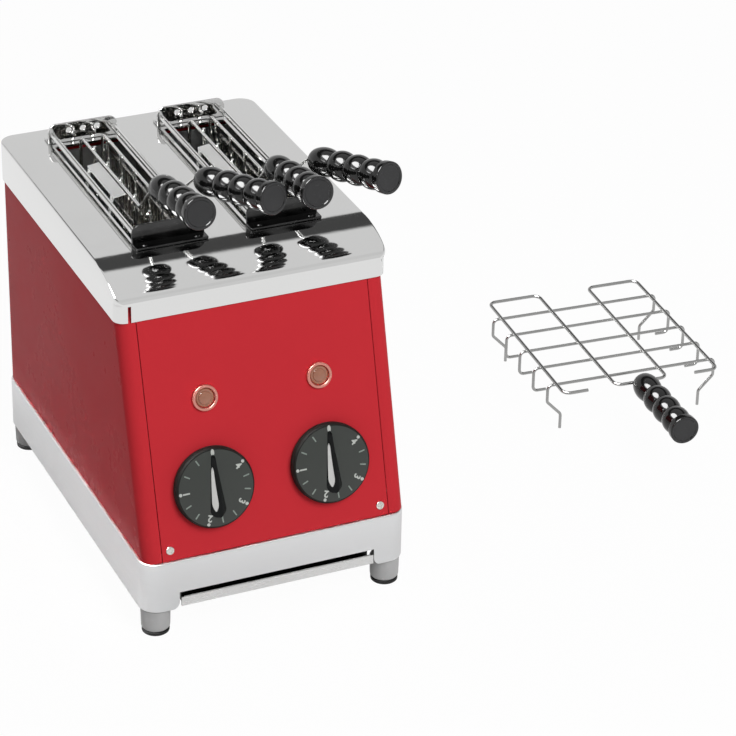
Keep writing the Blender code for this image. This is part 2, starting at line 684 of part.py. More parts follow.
WIRE = 0.0013
CROSS_WIRE = 0.0012
WELD_DEPTH_SHARE = 0.75
GRID_CLEAR = 0.004
GRID_LENGTH = SLOT_REAR - SLOT_FRONT - 2 * GRID_CLEAR
GRID_WIDTH = 0.132
GRID_BEND = 0.006
GRID_END_HOOK = 0.020
CROSS_PLACES_SHARES = (0.16, 0.34, 0.52, 0.70, 0.88)
INNER_LINE_SHARE = 1 / 6
HOOK_BEND = 0.004
HOOK_DROP = 0.020
HOOK_RETURN = 0.011
HOOK_OUT = 0.006
LEG_HEIGHT = 0.042
LEG_SHOULDER_SHARE = 0.35
LEG_KNEE_SHARE = 0.65
LEG_SLANT = 0.012
HANDLE_LENGTH = 0.089
HANDLE_BORE = WIRE + GAP
HANDLE_BORE_DEPTH = 0.010
COLLAR_RADIUS = 0.0098
COLLAR_LENGTH = 0.007
BEAD_RADIUS = 0.0115
BEAD_NECK = 0.0082
BEAD_COUNT = 4
BEAD_PITCH = 0.0165
BEAD_STEPS = 4
CAP_RADIUS = 0.0125
CAP_EDGE = 0.0012
STEM_GRIP = 0.008
TONG_PLANES = {"left": -0.005, "right": 0.012}
GRID_REAR = SLOT_REAR - GRID_CLEAR
GRID_RISE = 0.007
GRID_TOP = TOTAL_HEIGHT + GRID_RISE
GRID_MIDDLE_HEIGHT = GRID_TOP - GRID_WIDTH / 2
STEM_BENT_AT = 0.036
STEM_RISE = SLOT_FRONT + STEM_BENT_AT
STEM_ENDS_BEFORE = 0.004
STEM_FRONT = SLOT_FRONT - STEM_ENDS_BEFORE
STEM_FLARE = 0.0150
STEM_RISE_HEIGHT = 0.034
HANDLE_ROOT_HEIGHT = GRID_TOP + STEM_RISE_HEIGHT
HANDLE_YAW = math.radians(17)
HANDLE_TILT = math.radians(11)
CROSS_STAGGER = 0.009
CROSS_BEYOND = 0.0025
HOOK_UNDER = WIRE + CROSS_WIRE + GAP
HOOK_REACH = 0.0190
HOOK_TIP = 0.0075

# Toasting chamber: end walls, reflectors, heaters and guards

WALL_BEFORE_SLOT = 0.008
WALL_FRONT = SLOT_FRONT - WALL_BEFORE_SLOT
WALL_BEHIND_SLOT = 0.009
WALL_REAR = SLOT_REAR + WALL_BEHIND_SLOT
WALL_HALF = HALF_WIDTH - SHEET - GAP
WALL_DROP = 0.009
WALL_TOP = TOTAL_HEIGHT - WALL_DROP
REFLECTOR_REACH = 0.174
REFLECTOR_BOTTOM = WALL_TOP - REFLECTOR_REACH
REFLECTOR_DROP = 0.006
REFLECTOR_TOP = WALL_TOP - REFLECTOR_DROP
REFLECTOR_RETURN = 0.008
REFLECTOR_ACROSS = 0.091
HEATER_OFFSET = 0.0290
HEATER_RADIUS = 0.0048
HEATER_DROPS = (0.130, 0.056)
HEATER_HEIGHTS = tuple(WALL_TOP - drop for drop in HEATER_DROPS)
HOLDER_THICKNESS = 0.0015
HOLDER_HALF = 0.0065
HOLDER_BEYOND = 0.012
GUARD_OFFSET = 0.0200
GUARD_ROD = 0.0018
GUARD_WIRE = 0.0009
GUARD_COUNT = 24
GUARD_END = 0.0035
GUARD_PITCH = (SLOT_REAR - SLOT_FRONT - 2 * GUARD_END) / (GUARD_COUNT - 1)
GUARD_UNDER_GRID = 0.040
GUARD_BOTTOM = GRID_TOP - GRID_WIDTH - GUARD_UNDER_GRID
GUARD_TOP = WALL_TOP - GUARD_ROD
REST_ROD = 0.0016
REST_WIRE = 0.0012
REST_OFFSET = 0.005
REST_UPRIGHTS = (3, 11, 19)
FLAP_FROM_FRONT = 0.059
FLAP_NEAR = SLOT_FRONT + FLAP_FROM_FRONT
FLAP_FROM_REAR = 0.053
FLAP_FAR = SLOT_REAR - FLAP_FROM_REAR
FLAP_IN = 0.009
FLAP_OUT = 0.003
FLAP_UNDER_GRID = 0.0015
FLAP_HEIGHT = GRID_TOP - FLAP_UNDER_GRID
FLAP_RISE = 0.0015
FLAP_TAB = 0.004
CHAMBER_FRONT = WALL_FRONT + SHEET + GAP
CHAMBER_REAR = WALL_REAR - GAP


def make_chamber():
    for name, depth in (("front", WALL_FRONT), ("rear", WALL_REAR)):
        wall = box((-WALL_HALF, depth, PANEL_BOTTOM), (WALL_HALF, depth + SHEET, WALL_TOP))
        as_part(wall, "chamber_" + name + "_wall", "zinc_sheet")
    length, middle = CHAMBER_REAR - CHAMBER_FRONT, (CHAMBER_REAR + CHAMBER_FRONT) / 2
    for name, sign in (("left", -1), ("right", 1)):
        out, back = sign * REFLECTOR_ACROSS, sign * (REFLECTOR_ACROSS - REFLECTOR_RETURN)
        step = sign * SHEET
        channel = [(out, REFLECTOR_BOTTOM), (out, REFLECTOR_TOP), (back, REFLECTOR_TOP),
                   (back, REFLECTOR_TOP - SHEET), (out - step, REFLECTOR_TOP - SHEET),
                   (out - step, REFLECTOR_BOTTOM + SHEET), (back, REFLECTOR_BOTTOM + SHEET),
                   (back, REFLECTOR_BOTTOM)]
        as_part(prism([channel], length, upright(middle)), name + "_reflector", "polished_steel")
    half, foot = SHEET / 2, REFLECTOR_RETURN / 2
    low, high = REFLECTOR_BOTTOM + SHEET, REFLECTOR_TOP - SHEET
    tee = [(-foot, REFLECTOR_BOTTOM), (foot, REFLECTOR_BOTTOM), (foot, low), (half, low), (half, high),
           (foot, high), (foot, REFLECTOR_TOP), (-foot, REFLECTOR_TOP), (-foot, high), (-half, high),
           (-half, low), (-foot, low)]
    as_part(prism([tee], length, upright(middle)), "middle_reflector", "polished_steel")


def make_heaters():
    """Two quartz tubes between metal holders on each side of each slot."""
    low, high = HEATER_HEIGHTS[0] - HOLDER_BEYOND, HEATER_HEIGHTS[1] + HOLDER_BEYOND
    for slot, middle in SLOT_MIDDLES.items():
        for side, sign in (("left", -1), ("right", 1)):
            across = middle + sign * HEATER_OFFSET
            holders = []
            for depth in (CHAMBER_FRONT, CHAMBER_REAR - HOLDER_THICKNESS):
                corner = (across - HOLDER_HALF, depth, low)
                opposite = (across + HOLDER_HALF, depth + HOLDER_THICKNESS, high)
                holders.append(box(corner, opposite))
            tubes = []
            for height in HEATER_HEIGHTS:
                start = (across, CHAMBER_FRONT + HOLDER_THICKNESS / 2, height)
                end = (across, CHAMBER_REAR - HOLDER_THICKNESS / 2, height)
                tubes.append(tube([start, end], HEATER_RADIUS, 2))
            bank = join(holders[0], holders[1], *tubes)
            as_part(bank, slot + "_slot_heater_" + side, "quartz")


def tong_rest(middle, guard_across, first_upright):
    """A lengthwise rod under the tong's hooks, carried by cross wires from the left guard's uprights."""
    across = middle + REST_OFFSET
    height = GRID_MIDDLE_HEIGHT - GRID_WIDTH / 2 - HOOK_UNDER - CROSS_WIRE - GAP - REST_ROD
    pieces = [tube([(across, CHAMBER_FRONT, height), (across, CHAMBER_REAR, height)], REST_ROD, 1)]
    for index in REST_UPRIGHTS:
        depth = first_upright + index * GUARD_PITCH
        start = (guard_across - REST_WIRE, depth, height)
        pieces.append(tube([start, (across, depth, height)], REST_WIRE, 1))
    return pieces


def guide_flap(across):
    """The bright strip beside the tongs: a flat flap on two tabs that stand on the left guard's top rod."""
    inner, outer = across + FLAP_OUT + FLAP_IN, across + FLAP_OUT
    strip = [(outer, FLAP_HEIGHT), (inner, FLAP_HEIGHT + FLAP_RISE), (inner, FLAP_HEIGHT + FLAP_RISE + SHEET),
             (outer, FLAP_HEIGHT + SHEET)]
    tab_top = FLAP_HEIGHT + SHEET / 2
    tab = [(across - SHEET / 2, GUARD_TOP), (across + SHEET / 2, GUARD_TOP), (outer + SHEET, tab_top),
           (outer, tab_top)]
    pieces = [prism([strip], FLAP_FAR - FLAP_NEAR, upright((FLAP_NEAR + FLAP_FAR) / 2))]
    for depth in (FLAP_NEAR + FLAP_TAB, FLAP_FAR - FLAP_TAB):
        pieces.append(prism([tab], FLAP_TAB, upright(depth)))
    return pieces


def make_guards():
    """Wire guards that keep the tongs off the heaters: a top rod, a bottom rod and upright wires."""
    first = (SLOT_FRONT + SLOT_REAR) / 2 - GUARD_PITCH * (GUARD_COUNT - 1) / 2
    for slot, middle in SLOT_MIDDLES.items():
        for side, sign in (("left", -1), ("right", 1)):
            across = middle + sign * GUARD_OFFSET
            rods = []
            for height in (GUARD_TOP, GUARD_BOTTOM):
                ends = [(across, depth, height) for depth in (CHAMBER_FRONT, CHAMBER_REAR)]
                rods.append(tube(ends, GUARD_ROD, 1))
            wires = []
            for index in range(GUARD_COUNT):
                depth = first + index * GUARD_PITCH
                wires.append(tube([(across, depth, GUARD_BOTTOM), (across, depth, GUARD_TOP)], GUARD_WIRE, 0))
            if side == "left":
                wires += tong_rest(middle, across, first) + guide_flap(across)
            as_part(join(*rods, *wires), slot + "_slot_guard_" + side, "steel_wire")


# Slot frames on the cover: a bracket at each end and a rail on each side

BRACKET_SHEET = 0.0016
BRACKET_BEFORE_SLOT = 0.0065
BRACKET_FRONT = SLOT_FRONT - BRACKET_BEFORE_SLOT
BRACKET_BEHIND_SLOT = 0.0050
BRACKET_REAR = SLOT_REAR + BRACKET_BEHIND_SLOT
BRACKET_HALF = 0.0270
BRACKET_CORNER = 0.0065
BRACKET_FOOT = 0.009
BRACKET_HOLE = 0.0021
BRACKET_HOLE_SPREAD = 0.011
RAIL_RADIUS = 0.0021
RAIL_OFFSET = 0.0235
RAIL_RISE = 0.007
RAIL_HEIGHT = TOTAL_HEIGHT + RAIL_RISE
BRACKET_OVER_RAIL = 0.0085
BRACKET_TOP = RAIL_HEIGHT + BRACKET_OVER_RAIL
HOLE_OVER_RAIL = 0.0025
BRACKET_HOLE_HEIGHT = RAIL_HEIGHT + HOLE_OVER_RAIL


def make_slot_frames():
    bottom = TOTAL_HEIGHT + GAP
    for slot, middle in SLOT_MIDDLES.items():
        for end, depth, away in (("front", BRACKET_FRONT, -1), ("rear", BRACKET_REAR, 1)):
            low, high = (middle - BRACKET_HALF, bottom), (middle + BRACKET_HALF, BRACKET_TOP)
            outlines = [rounded_box_outline(low, high, [0, 0, BRACKET_CORNER, BRACKET_CORNER])]
            for step in (-1, 0, 1):
                spot = (middle + step * BRACKET_HOLE_SPREAD, BRACKET_HOLE_HEIGHT)
                if end == "rear":
                    outlines.append(arc(spot, BRACKET_HOLE, 0, 315, 7))
            plate = prism(outlines, BRACKET_SHEET, upright(depth + BRACKET_SHEET / 2))
            inner = depth + BRACKET_SHEET / 2
            outer = inner + away * (BRACKET_FOOT + BRACKET_SHEET / 2)
            foot = box((middle - BRACKET_HALF, min(inner, outer), bottom),
                       (middle + BRACKET_HALF, max(inner, outer), bottom + BRACKET_SHEET))
            as_part(join(plate, foot), slot + "_slot_" + end + "_bracket", "polished_steel")
        for side, sign in (("left", -1), ("right", 1)):
            across = middle + sign * RAIL_OFFSET
            ends = (BRACKET_FRONT + BRACKET_SHEET + GAP, BRACKET_REAR - GAP)
            rail = tube([(across, depth, RAIL_HEIGHT) for depth in ends], RAIL_RADIUS, 2)
            as_part(rail, slot + "_slot_rail_" + side, "polished_steel")


# Wire tongs: a serpentine wire with five cross wires welded on it, and a beaded handle

def handle_profile():
    """Turned outline, from the cap's end face back to the bore at the root, where height is zero."""
    beads_end = COLLAR_LENGTH + BEAD_COUNT * BEAD_PITCH
    face = CAP_RADIUS - CAP_EDGE
    profile = [(0, HANDLE_LENGTH), (face, HANDLE_LENGTH), (CAP_RADIUS, HANDLE_LENGTH - CAP_EDGE),
               (CAP_RADIUS, beads_end + CAP_EDGE), (face, beads_end)]
    for bead in reversed(range(BEAD_COUNT)):
        for step in range(BEAD_STEPS + 1):
            share = 1 - step / BEAD_STEPS
            radius = BEAD_NECK + (BEAD_RADIUS - BEAD_NECK) * math.sin(math.pi * share)
            height = COLLAR_LENGTH + (bead + share) * BEAD_PITCH
            if step > 0 or bead == BEAD_COUNT - 1:
                profile.append((radius, height))
    profile += [(COLLAR_RADIUS, COLLAR_LENGTH), (COLLAR_RADIUS, 0), (HANDLE_BORE, 0),
                (HANDLE_BORE, HANDLE_BORE_DEPTH), (0, HANDLE_BORE_DEPTH)]
    return profile


def pointing(origin, direction):
    """Matrix at a point whose Z axis runs along a direction."""
    matrix = Vector(direction).to_track_quat("Z", "Y").to_matrix().to_4x4()
    matrix.translation = origin
    return matrix


def make_handle(name, root, direction):
    item = as_part(turned(handle_profile(), 12), name, "black_plastic", math.radians(50))
    item.matrix_world = pointing(root, direction)
    return item


def serpentine(near_end_tail):
    """The long wire in the grid's plane: (along from the far end, across)."""
    side, inner = GRID_WIDTH / 2, GRID_WIDTH * INNER_LINE_SHARE
    near = GRID_LENGTH
    return [(near, -side + GRID_END_HOOK), (near, -side), (0, -side), (0, -inner), (near, -inner),
            (near, inner), (0, inner), (0, side)] + near_end_tail


def make_slot_tong_half(slot, half, middle, sign, flare):
    """One half in its slot: the grid stands upright, its top wire runs out into the handle's stem."""
    plane = middle + TONG_PLANES[half]

    def spot(along, across):
        return (plane, GRID_REAR - along, GRID_MIDDLE_HEIGHT + across)

    stem_start = spot(GRID_REAR - STEM_RISE, GRID_WIDTH / 2)
    root = Vector((plane + flare * STEM_FLARE, STEM_FRONT, HANDLE_ROOT_HEIGHT))
    yaw = flare * HANDLE_YAW
    direction = Vector((math.sin(yaw), -math.cos(yaw), math.sin(HANDLE_TILT))).normalized()
    inside = root + direction * STEM_GRIP
    corners = [spot(*point) for point in serpentine([])]
    corners += [stem_start, root - direction * STEM_GRIP]
    grid = tube(rounded_path(corners, GRID_BEND) + [inside], WIRE, 1)
    towards = -sign
    layer = plane + towards * 2 * WIRE * WELD_DEPTH_SHARE
    top, bottom = GRID_MIDDLE_HEIGHT + GRID_WIDTH / 2, GRID_MIDDLE_HEIGHT - GRID_WIDTH / 2
    stagger = CROSS_STAGGER if sign > 0 else 0
    wires = []
    for share in CROSS_PLACES_SHARES:
        depth = GRID_REAR - share * GRID_LENGTH + stagger
        route = [(layer, depth, top + CROSS_BEYOND), (layer, depth, bottom - CROSS_BEYOND)]
        if sign < 0:
            hook_low = bottom - HOOK_UNDER
            reach = layer + towards * HOOK_REACH
            route = [(layer, depth, top + CROSS_BEYOND), (layer, depth, hook_low),
                     (reach, depth, hook_low), (reach, depth, hook_low + HOOK_TIP)]
        wires.append(tube(rounded_path(route, HOOK_BEND), CROSS_WIRE, 1))
    as_part(join(grid, *wires), slot + "_tong_" + half + "_grid", "steel_wire")
    make_handle(slot + "_tong_" + half + "_handle", root, direction)


def make_slot_tongs():
    for slot, middle in SLOT_MIDDLES.items():
        make_slot_tong_half(slot, "left", middle, -1, 0)
        make_slot_tong_half(slot, "right", middle, 1, 1)


# The loose half stands on its four legs beside the toaster

LOOSE_ACROSS = 0.372
LOOSE_DEPTH = 0.215
LOOSE_TURN = math.radians(-4)
LOOSE_HANDLE_LIFT = 0.001


def make_loose_half():
    spot_matrix = Matrix.Translation((LOOSE_ACROSS, LOOSE_DEPTH, 0)) @ Matrix.Rotation(LOOSE_TURN, 4, "Z")
    plane = LEG_HEIGHT

    def spot(along, across):
        return (across, GRID_LENGTH / 2 - along, plane)

    tail = [(GRID_LENGTH, GRID_WIDTH / 2), (GRID_LENGTH, GRID_WIDTH / 2 - GRID_END_HOOK)]
    corners = [spot(*point) for point in serpentine(tail)]
    grid = tube(rounded_path(corners, GRID_BEND), WIRE, 1)
    layer = plane - 2 * WIRE * WELD_DEPTH_SHARE
    side = GRID_WIDTH / 2 + HOOK_OUT
    wires = []
    for index, share in enumerate(CROSS_PLACES_SHARES):
        depth = GRID_LENGTH / 2 - share * GRID_LENGTH
        if index in (0, len(CROSS_PLACES_SHARES) - 1):
            shoulder, knee = layer - LEG_HEIGHT * LEG_SHOULDER_SHARE, layer - LEG_HEIGHT * LEG_KNEE_SHARE
            half_route = [(side, shoulder), (side - LEG_SLANT, knee), (side - LEG_SLANT, 0)]
        else:
            half_route = [(side, layer - HOOK_DROP), (side - HOOK_RETURN, layer - HOOK_DROP)]
        left = [(-across, depth, height) for across, height in reversed(half_route)]
        right = [(across, depth, height) for across, height in half_route]
        route = left + [(-side, depth, layer), (side, depth, layer)] + right
        wires.append(tube(rounded_path(route, HOOK_BEND), CROSS_WIRE, 1))
    stem_start = Vector(spot(GRID_LENGTH, 0))
    root = stem_start - Vector((0, WIRE + GAP, 0))
    grid = join(grid, *wires)
    as_part(place(grid, spot_matrix), "loose_tong_grid", "steel_wire")
    direction = spot_matrix.to_3x3() @ Vector((0, -1, 0))
    make_handle("loose_tong_handle", spot_matrix @ root, direction)


# Build order, then the move of the set to its origin


def centre_set():
    """Hangs every piece on one empty and moves it so that the footprint's middle is the origin."""
    bpy.context.view_layer.update()
    graph = bpy.context.evaluated_depsgraph_get()
    corners = []
    for item in PARTS.objects:
        shown = item.evaluated_get(graph)
        corners += [shown.matrix_world @ vert.co for vert in shown.data.vertices]
    middle = []
    for axis in (0, 1):
        places = [point[axis] for point in corners]
        middle.append((min(places) + max(places)) / 2)
    origin = bpy.data.objects.new("toaster_set", None)
    PARTS.objects.link(origin)
    for item in list(PARTS.objects):
        if item is not origin and item.parent is None:
            item.parent = origin
    origin.location = (-middle[0], -middle[1], 0)
    print("set moved by", [round(-value, 6) for value in middle])


make_base_frame()
make_feet()
make_bottom_plate()
make_crumb_tray()
for side_name, side_sign in (("left", -1), ("right", 1)):
    make_side_panel(side_name, side_sign)
make_front_panel()
make_rear_panel()
make_top_cover()
make_screws()
make_cord_gland()
make_controls()
make_chamber()
make_heaters()
make_guards()
make_slot_frames()
make_slot_tongs()
make_loose_half()
centre_set()
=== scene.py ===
import math
import bpy
from mathutils import Matrix, Vector


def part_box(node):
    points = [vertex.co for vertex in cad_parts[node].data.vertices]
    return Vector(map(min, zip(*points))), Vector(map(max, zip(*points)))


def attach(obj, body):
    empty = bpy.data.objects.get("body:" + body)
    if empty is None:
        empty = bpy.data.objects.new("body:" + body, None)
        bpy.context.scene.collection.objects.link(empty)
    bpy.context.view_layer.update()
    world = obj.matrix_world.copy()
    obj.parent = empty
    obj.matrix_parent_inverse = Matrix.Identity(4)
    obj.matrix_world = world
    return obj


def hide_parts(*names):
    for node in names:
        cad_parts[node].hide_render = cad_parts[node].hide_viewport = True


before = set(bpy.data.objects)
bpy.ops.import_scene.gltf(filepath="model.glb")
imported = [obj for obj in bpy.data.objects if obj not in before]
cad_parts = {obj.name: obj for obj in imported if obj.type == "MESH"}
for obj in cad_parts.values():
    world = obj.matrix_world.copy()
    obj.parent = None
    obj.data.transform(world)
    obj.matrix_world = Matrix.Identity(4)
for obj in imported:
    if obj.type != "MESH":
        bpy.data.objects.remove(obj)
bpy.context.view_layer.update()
print("frame loaded with", len(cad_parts), "parts")

# all lengths in metres. The toaster stands on its own zero: middle of its width, foot of the front panel, floor
casing = {"halfWidth": 0.100, "depth": 0.303, "height": 0.261, "baseTop": 0.061, "baseBottom": 0.021,
          "skirtBottom": 0.231, "setback": 0.046, "sheet": 0.0012, "gap": 0.0003, "baseProud": 0.0015}
baseLow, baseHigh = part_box("base_frame")
toasterSpot = Vector(((baseLow.x + baseHigh.x) / 2, baseLow.y + casing["baseProud"], 0))
lean = math.atan2(casing["setback"], casing["skirtBottom"] - casing["baseTop"])
panelUp = Vector((0, math.sin(lean), math.cos(lean)))
panelOut = Vector((0, -math.cos(lean), math.sin(lean)))
sides = {"left": -1, "right": 1}
slotMiddles = {"left": -0.043, "right": 0.043}


def onFront(across, up, out=0):
    # place on the leaning front: X across, Y up the panel, Z out of it
    turn = Matrix((Vector((1, 0, 0)), panelUp, panelOut)).transposed().to_4x4()
    turn.translation = Vector((across, 0, casing["baseTop"])) + panelUp * up + panelOut * out
    return turn


def standing(depth):
    # an outline drawn across and up stands at this depth
    return Matrix.Translation((0, depth, 0)) @ Matrix.Rotation(math.radians(90), 4, "X")


def sideOn(across):
    # an outline drawn along the depth and up stands at this place across
    turn = Matrix.Rotation(math.radians(90), 4, "Z") @ Matrix.Rotation(math.radians(90), 4, "X")
    return Matrix.Translation((across, 0, 0)) @ turn


# ---- camera: found from the photo's own edges

viewpoint = {"azimuth": -24.369, "elevation": 29.001, "roll": 1.122, "distance": 2.3465,
             "target": (0.11270, 0.09865, 0.12551), "lens": 155.48, "sensor": 36.0}


def placeCamera(settings):
    turn, rise = math.radians(settings["azimuth"]), math.radians(settings["elevation"])
    back = Vector((math.sin(turn) * math.cos(rise), -math.cos(turn) * math.cos(rise), math.sin(rise)))
    right = Vector((0, 0, 1)).cross(back).normalized()
    up = back.cross(right)
    roll = math.radians(settings["roll"])
    rolledRight = right * math.cos(roll) + up * math.sin(roll)
    rolledUp = up * math.cos(roll) - right * math.sin(roll)
    matrix = Matrix((rolledRight, rolledUp, back)).transposed().to_4x4()
    matrix.translation = toasterSpot + Vector(settings["target"]) + back * settings["distance"]
    lensData = bpy.data.cameras.new("photoCamera")
    lensData.lens = settings["lens"]
    lensData.sensor_width = settings["sensor"]
    camera = bpy.data.objects.new("photoCamera", lensData)
    camera.matrix_world = matrix
    bpy.context.scene.collection.objects.link(camera)
    bpy.context.scene.camera = camera


placeCamera(viewpoint)
print("camera placed")


# ---- shader groups

def newGroup(name, inputs, outputs):
    group = bpy.data.node_groups.new(name, "ShaderNodeTree")
    for label, kind, value in inputs:
        socket = group.interface.new_socket(name=label, in_out="INPUT", socket_type="NodeSocket" + kind)
        socket.default_value = value
    for label, kind in outputs:
        group.interface.new_socket(name=label, in_out="OUTPUT", socket_type="NodeSocket" + kind)
    return group, group.nodes.new("NodeGroupInput"), group.nodes.new("NodeGroupOutput")


def feed(tree, socket, value):
    # a socket gets a link or a constant
    if isinstance(value, bpy.types.NodeSocket):
        tree.links.new(value, socket)
    else:
        socket.default_value = value


def mathNode(tree, operation, first, second):
    node = tree.nodes.new("ShaderNodeMath")
    node.operation = operation
    feed(tree, node.inputs[0], first)
    feed(tree, node.inputs[1], second)
    return node.outputs[0]


def spreadNode(tree, value, fromLow, fromHigh, toLow, toHigh):
    # carries a value from one range to another
    node = tree.nodes.new("ShaderNodeMapRange")
    feed(tree, node.inputs["Value"], value)
    feed(tree, node.inputs["From Min"], fromLow)
    feed(tree, node.inputs["From Max"], fromHigh)
    feed(tree, node.inputs["To Min"], toLow)
    feed(tree, node.inputs["To Max"], toHigh)
    return node.outputs["Result"]


def scaledColour(tree, colour, factor):
    node = tree.nodes.new("ShaderNodeVectorMath")
    node.operation = "SCALE"
    tree.links.new(colour, node.inputs[0])
    tree.links.new(factor, node.inputs["Scale"])
    return node.outputs[0]


def noiseNode(tree, vector, scale, detail=3, roughness=0.5):
    node = tree.nodes.new("ShaderNodeTexNoise")
    node.inputs["Detail"].default_value = detail
    node.inputs["Roughness"].default_value = roughness
    tree.links.new(vector, node.inputs["Vector"])
    feed(tree, node.inputs["Scale"], scale)
    return node.outputs["Fac"]


def makeReliefGroup():
    # fine unevenness of a surface, as a normal
    group, given, result = newGroup("fineRelief", [("Scale", "Float", 400), ("Depth", "Float", 0.0001)],
                                    [("Normal", "Vector")])
    place = group.nodes.new("ShaderNodeTexCoord")
    grain = noiseNode(group, place.outputs["Object"], given.outputs["Scale"], 4, 0.6)
    bump = group.nodes.new("ShaderNodeBump")
    group.links.new(grain, bump.inputs["Height"])
    group.links.new(given.outputs["Depth"], bump.inputs["Distance"])
    group.links.new(bump.outputs["Normal"], result.inputs["Normal"])
    return group


def makeGrainGroup():
    # rubbed grain that runs along one direction: a value for roughness and a normal
    group, given, result = newGroup(
        "rubbedGrain", [("Stretch", "Vector", (1, 1, 1)), ("Depth", "Float", 0.00002), ("Low", "Float", 0.2),
                        ("High", "Float", 0.4)],
        [("Roughness", "Float"), ("Normal", "Vector")])
    place = group.nodes.new("ShaderNodeTexCoord")
    stretch = group.nodes.new("ShaderNodeVectorMath")
    stretch.operation = "MULTIPLY"
    group.links.new(place.outputs["Object"], stretch.inputs[0])
    group.links.new(given.outputs["Stretch"], stretch.inputs[1])
    lines = noiseNode(group, stretch.outputs[0], 1, 5, 0.65)
    spread = spreadNode(group, lines, 0.3, 0.7, given.outputs["Low"], given.outputs["High"])
    bump = group.nodes.new("ShaderNodeBump")
    group.links.new(lines, bump.inputs["Height"])
    group.links.new(given.outputs["Depth"], bump.inputs["Distance"])
    group.links.new(spread, result.inputs["Roughness"])
    group.links.new(bump.outputs["Normal"], result.inputs["Normal"])
    return group


def makeHandledGroup():
    # traces of handling and wiping: soft patches with finer ones inside, as a roughness
    group, given, result = newGroup("handledGloss",
                                    [("Scale", "Float", 14), ("Low", "Float", 0.05), ("High", "Float", 0.15)],
                                    [("Roughness", "Float"), ("Patches", "Float")])
    place = group.nodes.new("ShaderNodeTexCoord")
    broad = noiseNode(group, place.outputs["Object"], given.outputs["Scale"], 3, 0.55)
    fineScale = mathNode(group, "MULTIPLY", given.outputs["Scale"], 9)
    fine = noiseNode(group, place.outputs["Object"], fineScale, 4, 0.6)
    blend = mathNode(group, "ADD", mathNode(group, "MULTIPLY", broad, 0.7), mathNode(group, "MULTIPLY", fine, 0.3))
    spread = spreadNode(group, blend, 0.35, 0.65, given.outputs["Low"], given.outputs["High"])
    group.links.new(spread, result.inputs["Roughness"])
    group.links.new(blend, result.inputs["Patches"])
    return group


def makeToneGroup():
    # a colour that drifts a little from place to place
    group, given, result = newGroup(
        "toneDrift", [("Colour", "Color", (0.5, 0.5, 0.5, 1)), ("Scale", "Float", 8), ("Amount", "Float", 0.06)],
        [("Colour", "Color")])
    place = group.nodes.new("ShaderNodeTexCoord")
    cloud = noiseNode(group, place.outputs["Object"], given.outputs["Scale"], 4, 0.6)
    swing = mathNode(group, "MULTIPLY", mathNode(group, "SUBTRACT", cloud, 0.5), given.outputs["Amount"])
    level = mathNode(group, "ADD", mathNode(group, "MULTIPLY", swing, 4), 1)
    group.links.new(scaledColour(group, given.outputs["Colour"], level), result.inputs["Colour"])
    return group


reliefGroup, grainGroup, handledGroup, toneGroup = makeReliefGroup(), makeGrainGroup(), makeHandledGroup(), makeToneGroup()


def groupNode(tree, group, **values):
    node = tree.nodes.new("ShaderNodeGroup")
    node.node_tree = group
    for label, value in values.items():
        node.inputs[label].default_value = value
    return node


# ---- finishes

finishes = {}


def newFinish(name, colour, metal, tone, gloss=None, relief=None, grain=None, coat=None, specular=0.5):
    # goes into the list of finishes.
    # tone: (scale, amount), gloss: (scale, low, high), relief: (scale, depth), grain: (stretch, depth, low, high)
    finish = bpy.data.materials.new(name)
    finish.use_nodes = True
    tree = finish.node_tree
    shader = tree.nodes["Principled BSDF"]
    shader.inputs["Metallic"].default_value = metal
    shader.inputs["Specular IOR Level"].default_value = specular
    drift = groupNode(tree, toneGroup, Colour=(*colour, 1), Scale=tone[0], Amount=tone[1])
    tree.links.new(drift.outputs["Colour"], shader.inputs["Base Color"])
    if gloss:
        handled = groupNode(tree, handledGroup, Scale=gloss[0], Low=gloss[1], High=gloss[2])
        tree.links.new(handled.outputs["Roughness"], shader.inputs["Roughness"])
    if grain:
        rubbed = groupNode(tree, grainGroup, Stretch=grain[0], Depth=grain[1], Low=grain[2], High=grain[3])
        tree.links.new(rubbed.outputs["Normal"], shader.inputs["Normal"])
        if not gloss:
            tree.links.new(rubbed.outputs["Roughness"], shader.inputs["Roughness"])
    if relief:
        uneven = groupNode(tree, reliefGroup, Scale=relief[0], Depth=relief[1])
        tree.links.new(uneven.outputs["Normal"], shader.inputs["Normal"])
    if coat:
        shader.inputs["Coat Weight"].default_value = coat[0]
        shader.inputs["Coat Roughness"].default_value = coat[1]
    finishes[name] = finish
    return finish


# rolled steel with a mirror polish, wiped many times
newFinish("mirrorSteel", (0.72, 0.72, 0.715), 1, (6, 0.015), gloss=(16, 0.035, 0.085), relief=(22, 0.00009))
newFinish("brightWire", (0.78, 0.78, 0.77), 1, (90, 0.05), gloss=(60, 0.09, 0.20), relief=(900, 0.00002))
newFinish("dullWire", (0.36, 0.36, 0.355), 1, (90, 0.06), gloss=(60, 0.14, 0.26), relief=(900, 0.00002))
newFinish("innerWire", (0.52, 0.51, 0.49), 1, (60, 0.10), gloss=(60, 0.16, 0.32), relief=(900, 0.00002))
# cast alloy rubbed lengthwise, then lacquered dull
newFinish("satinAlloy", (0.74, 0.745, 0.75), 1, (10, 0.02), grain=((60, 60, 900), 0.00001, 0.30, 0.42))
# near-black cast: painted shade for the bottom plate, the bosses and the inner faces of the base ring, which lie in
# shade
newFinish("castInPaintedShade", (0.09, 0.09, 0.09), 1, (60, 0.12), gloss=(40, 0.45, 0.60), relief=(700, 0.00008))
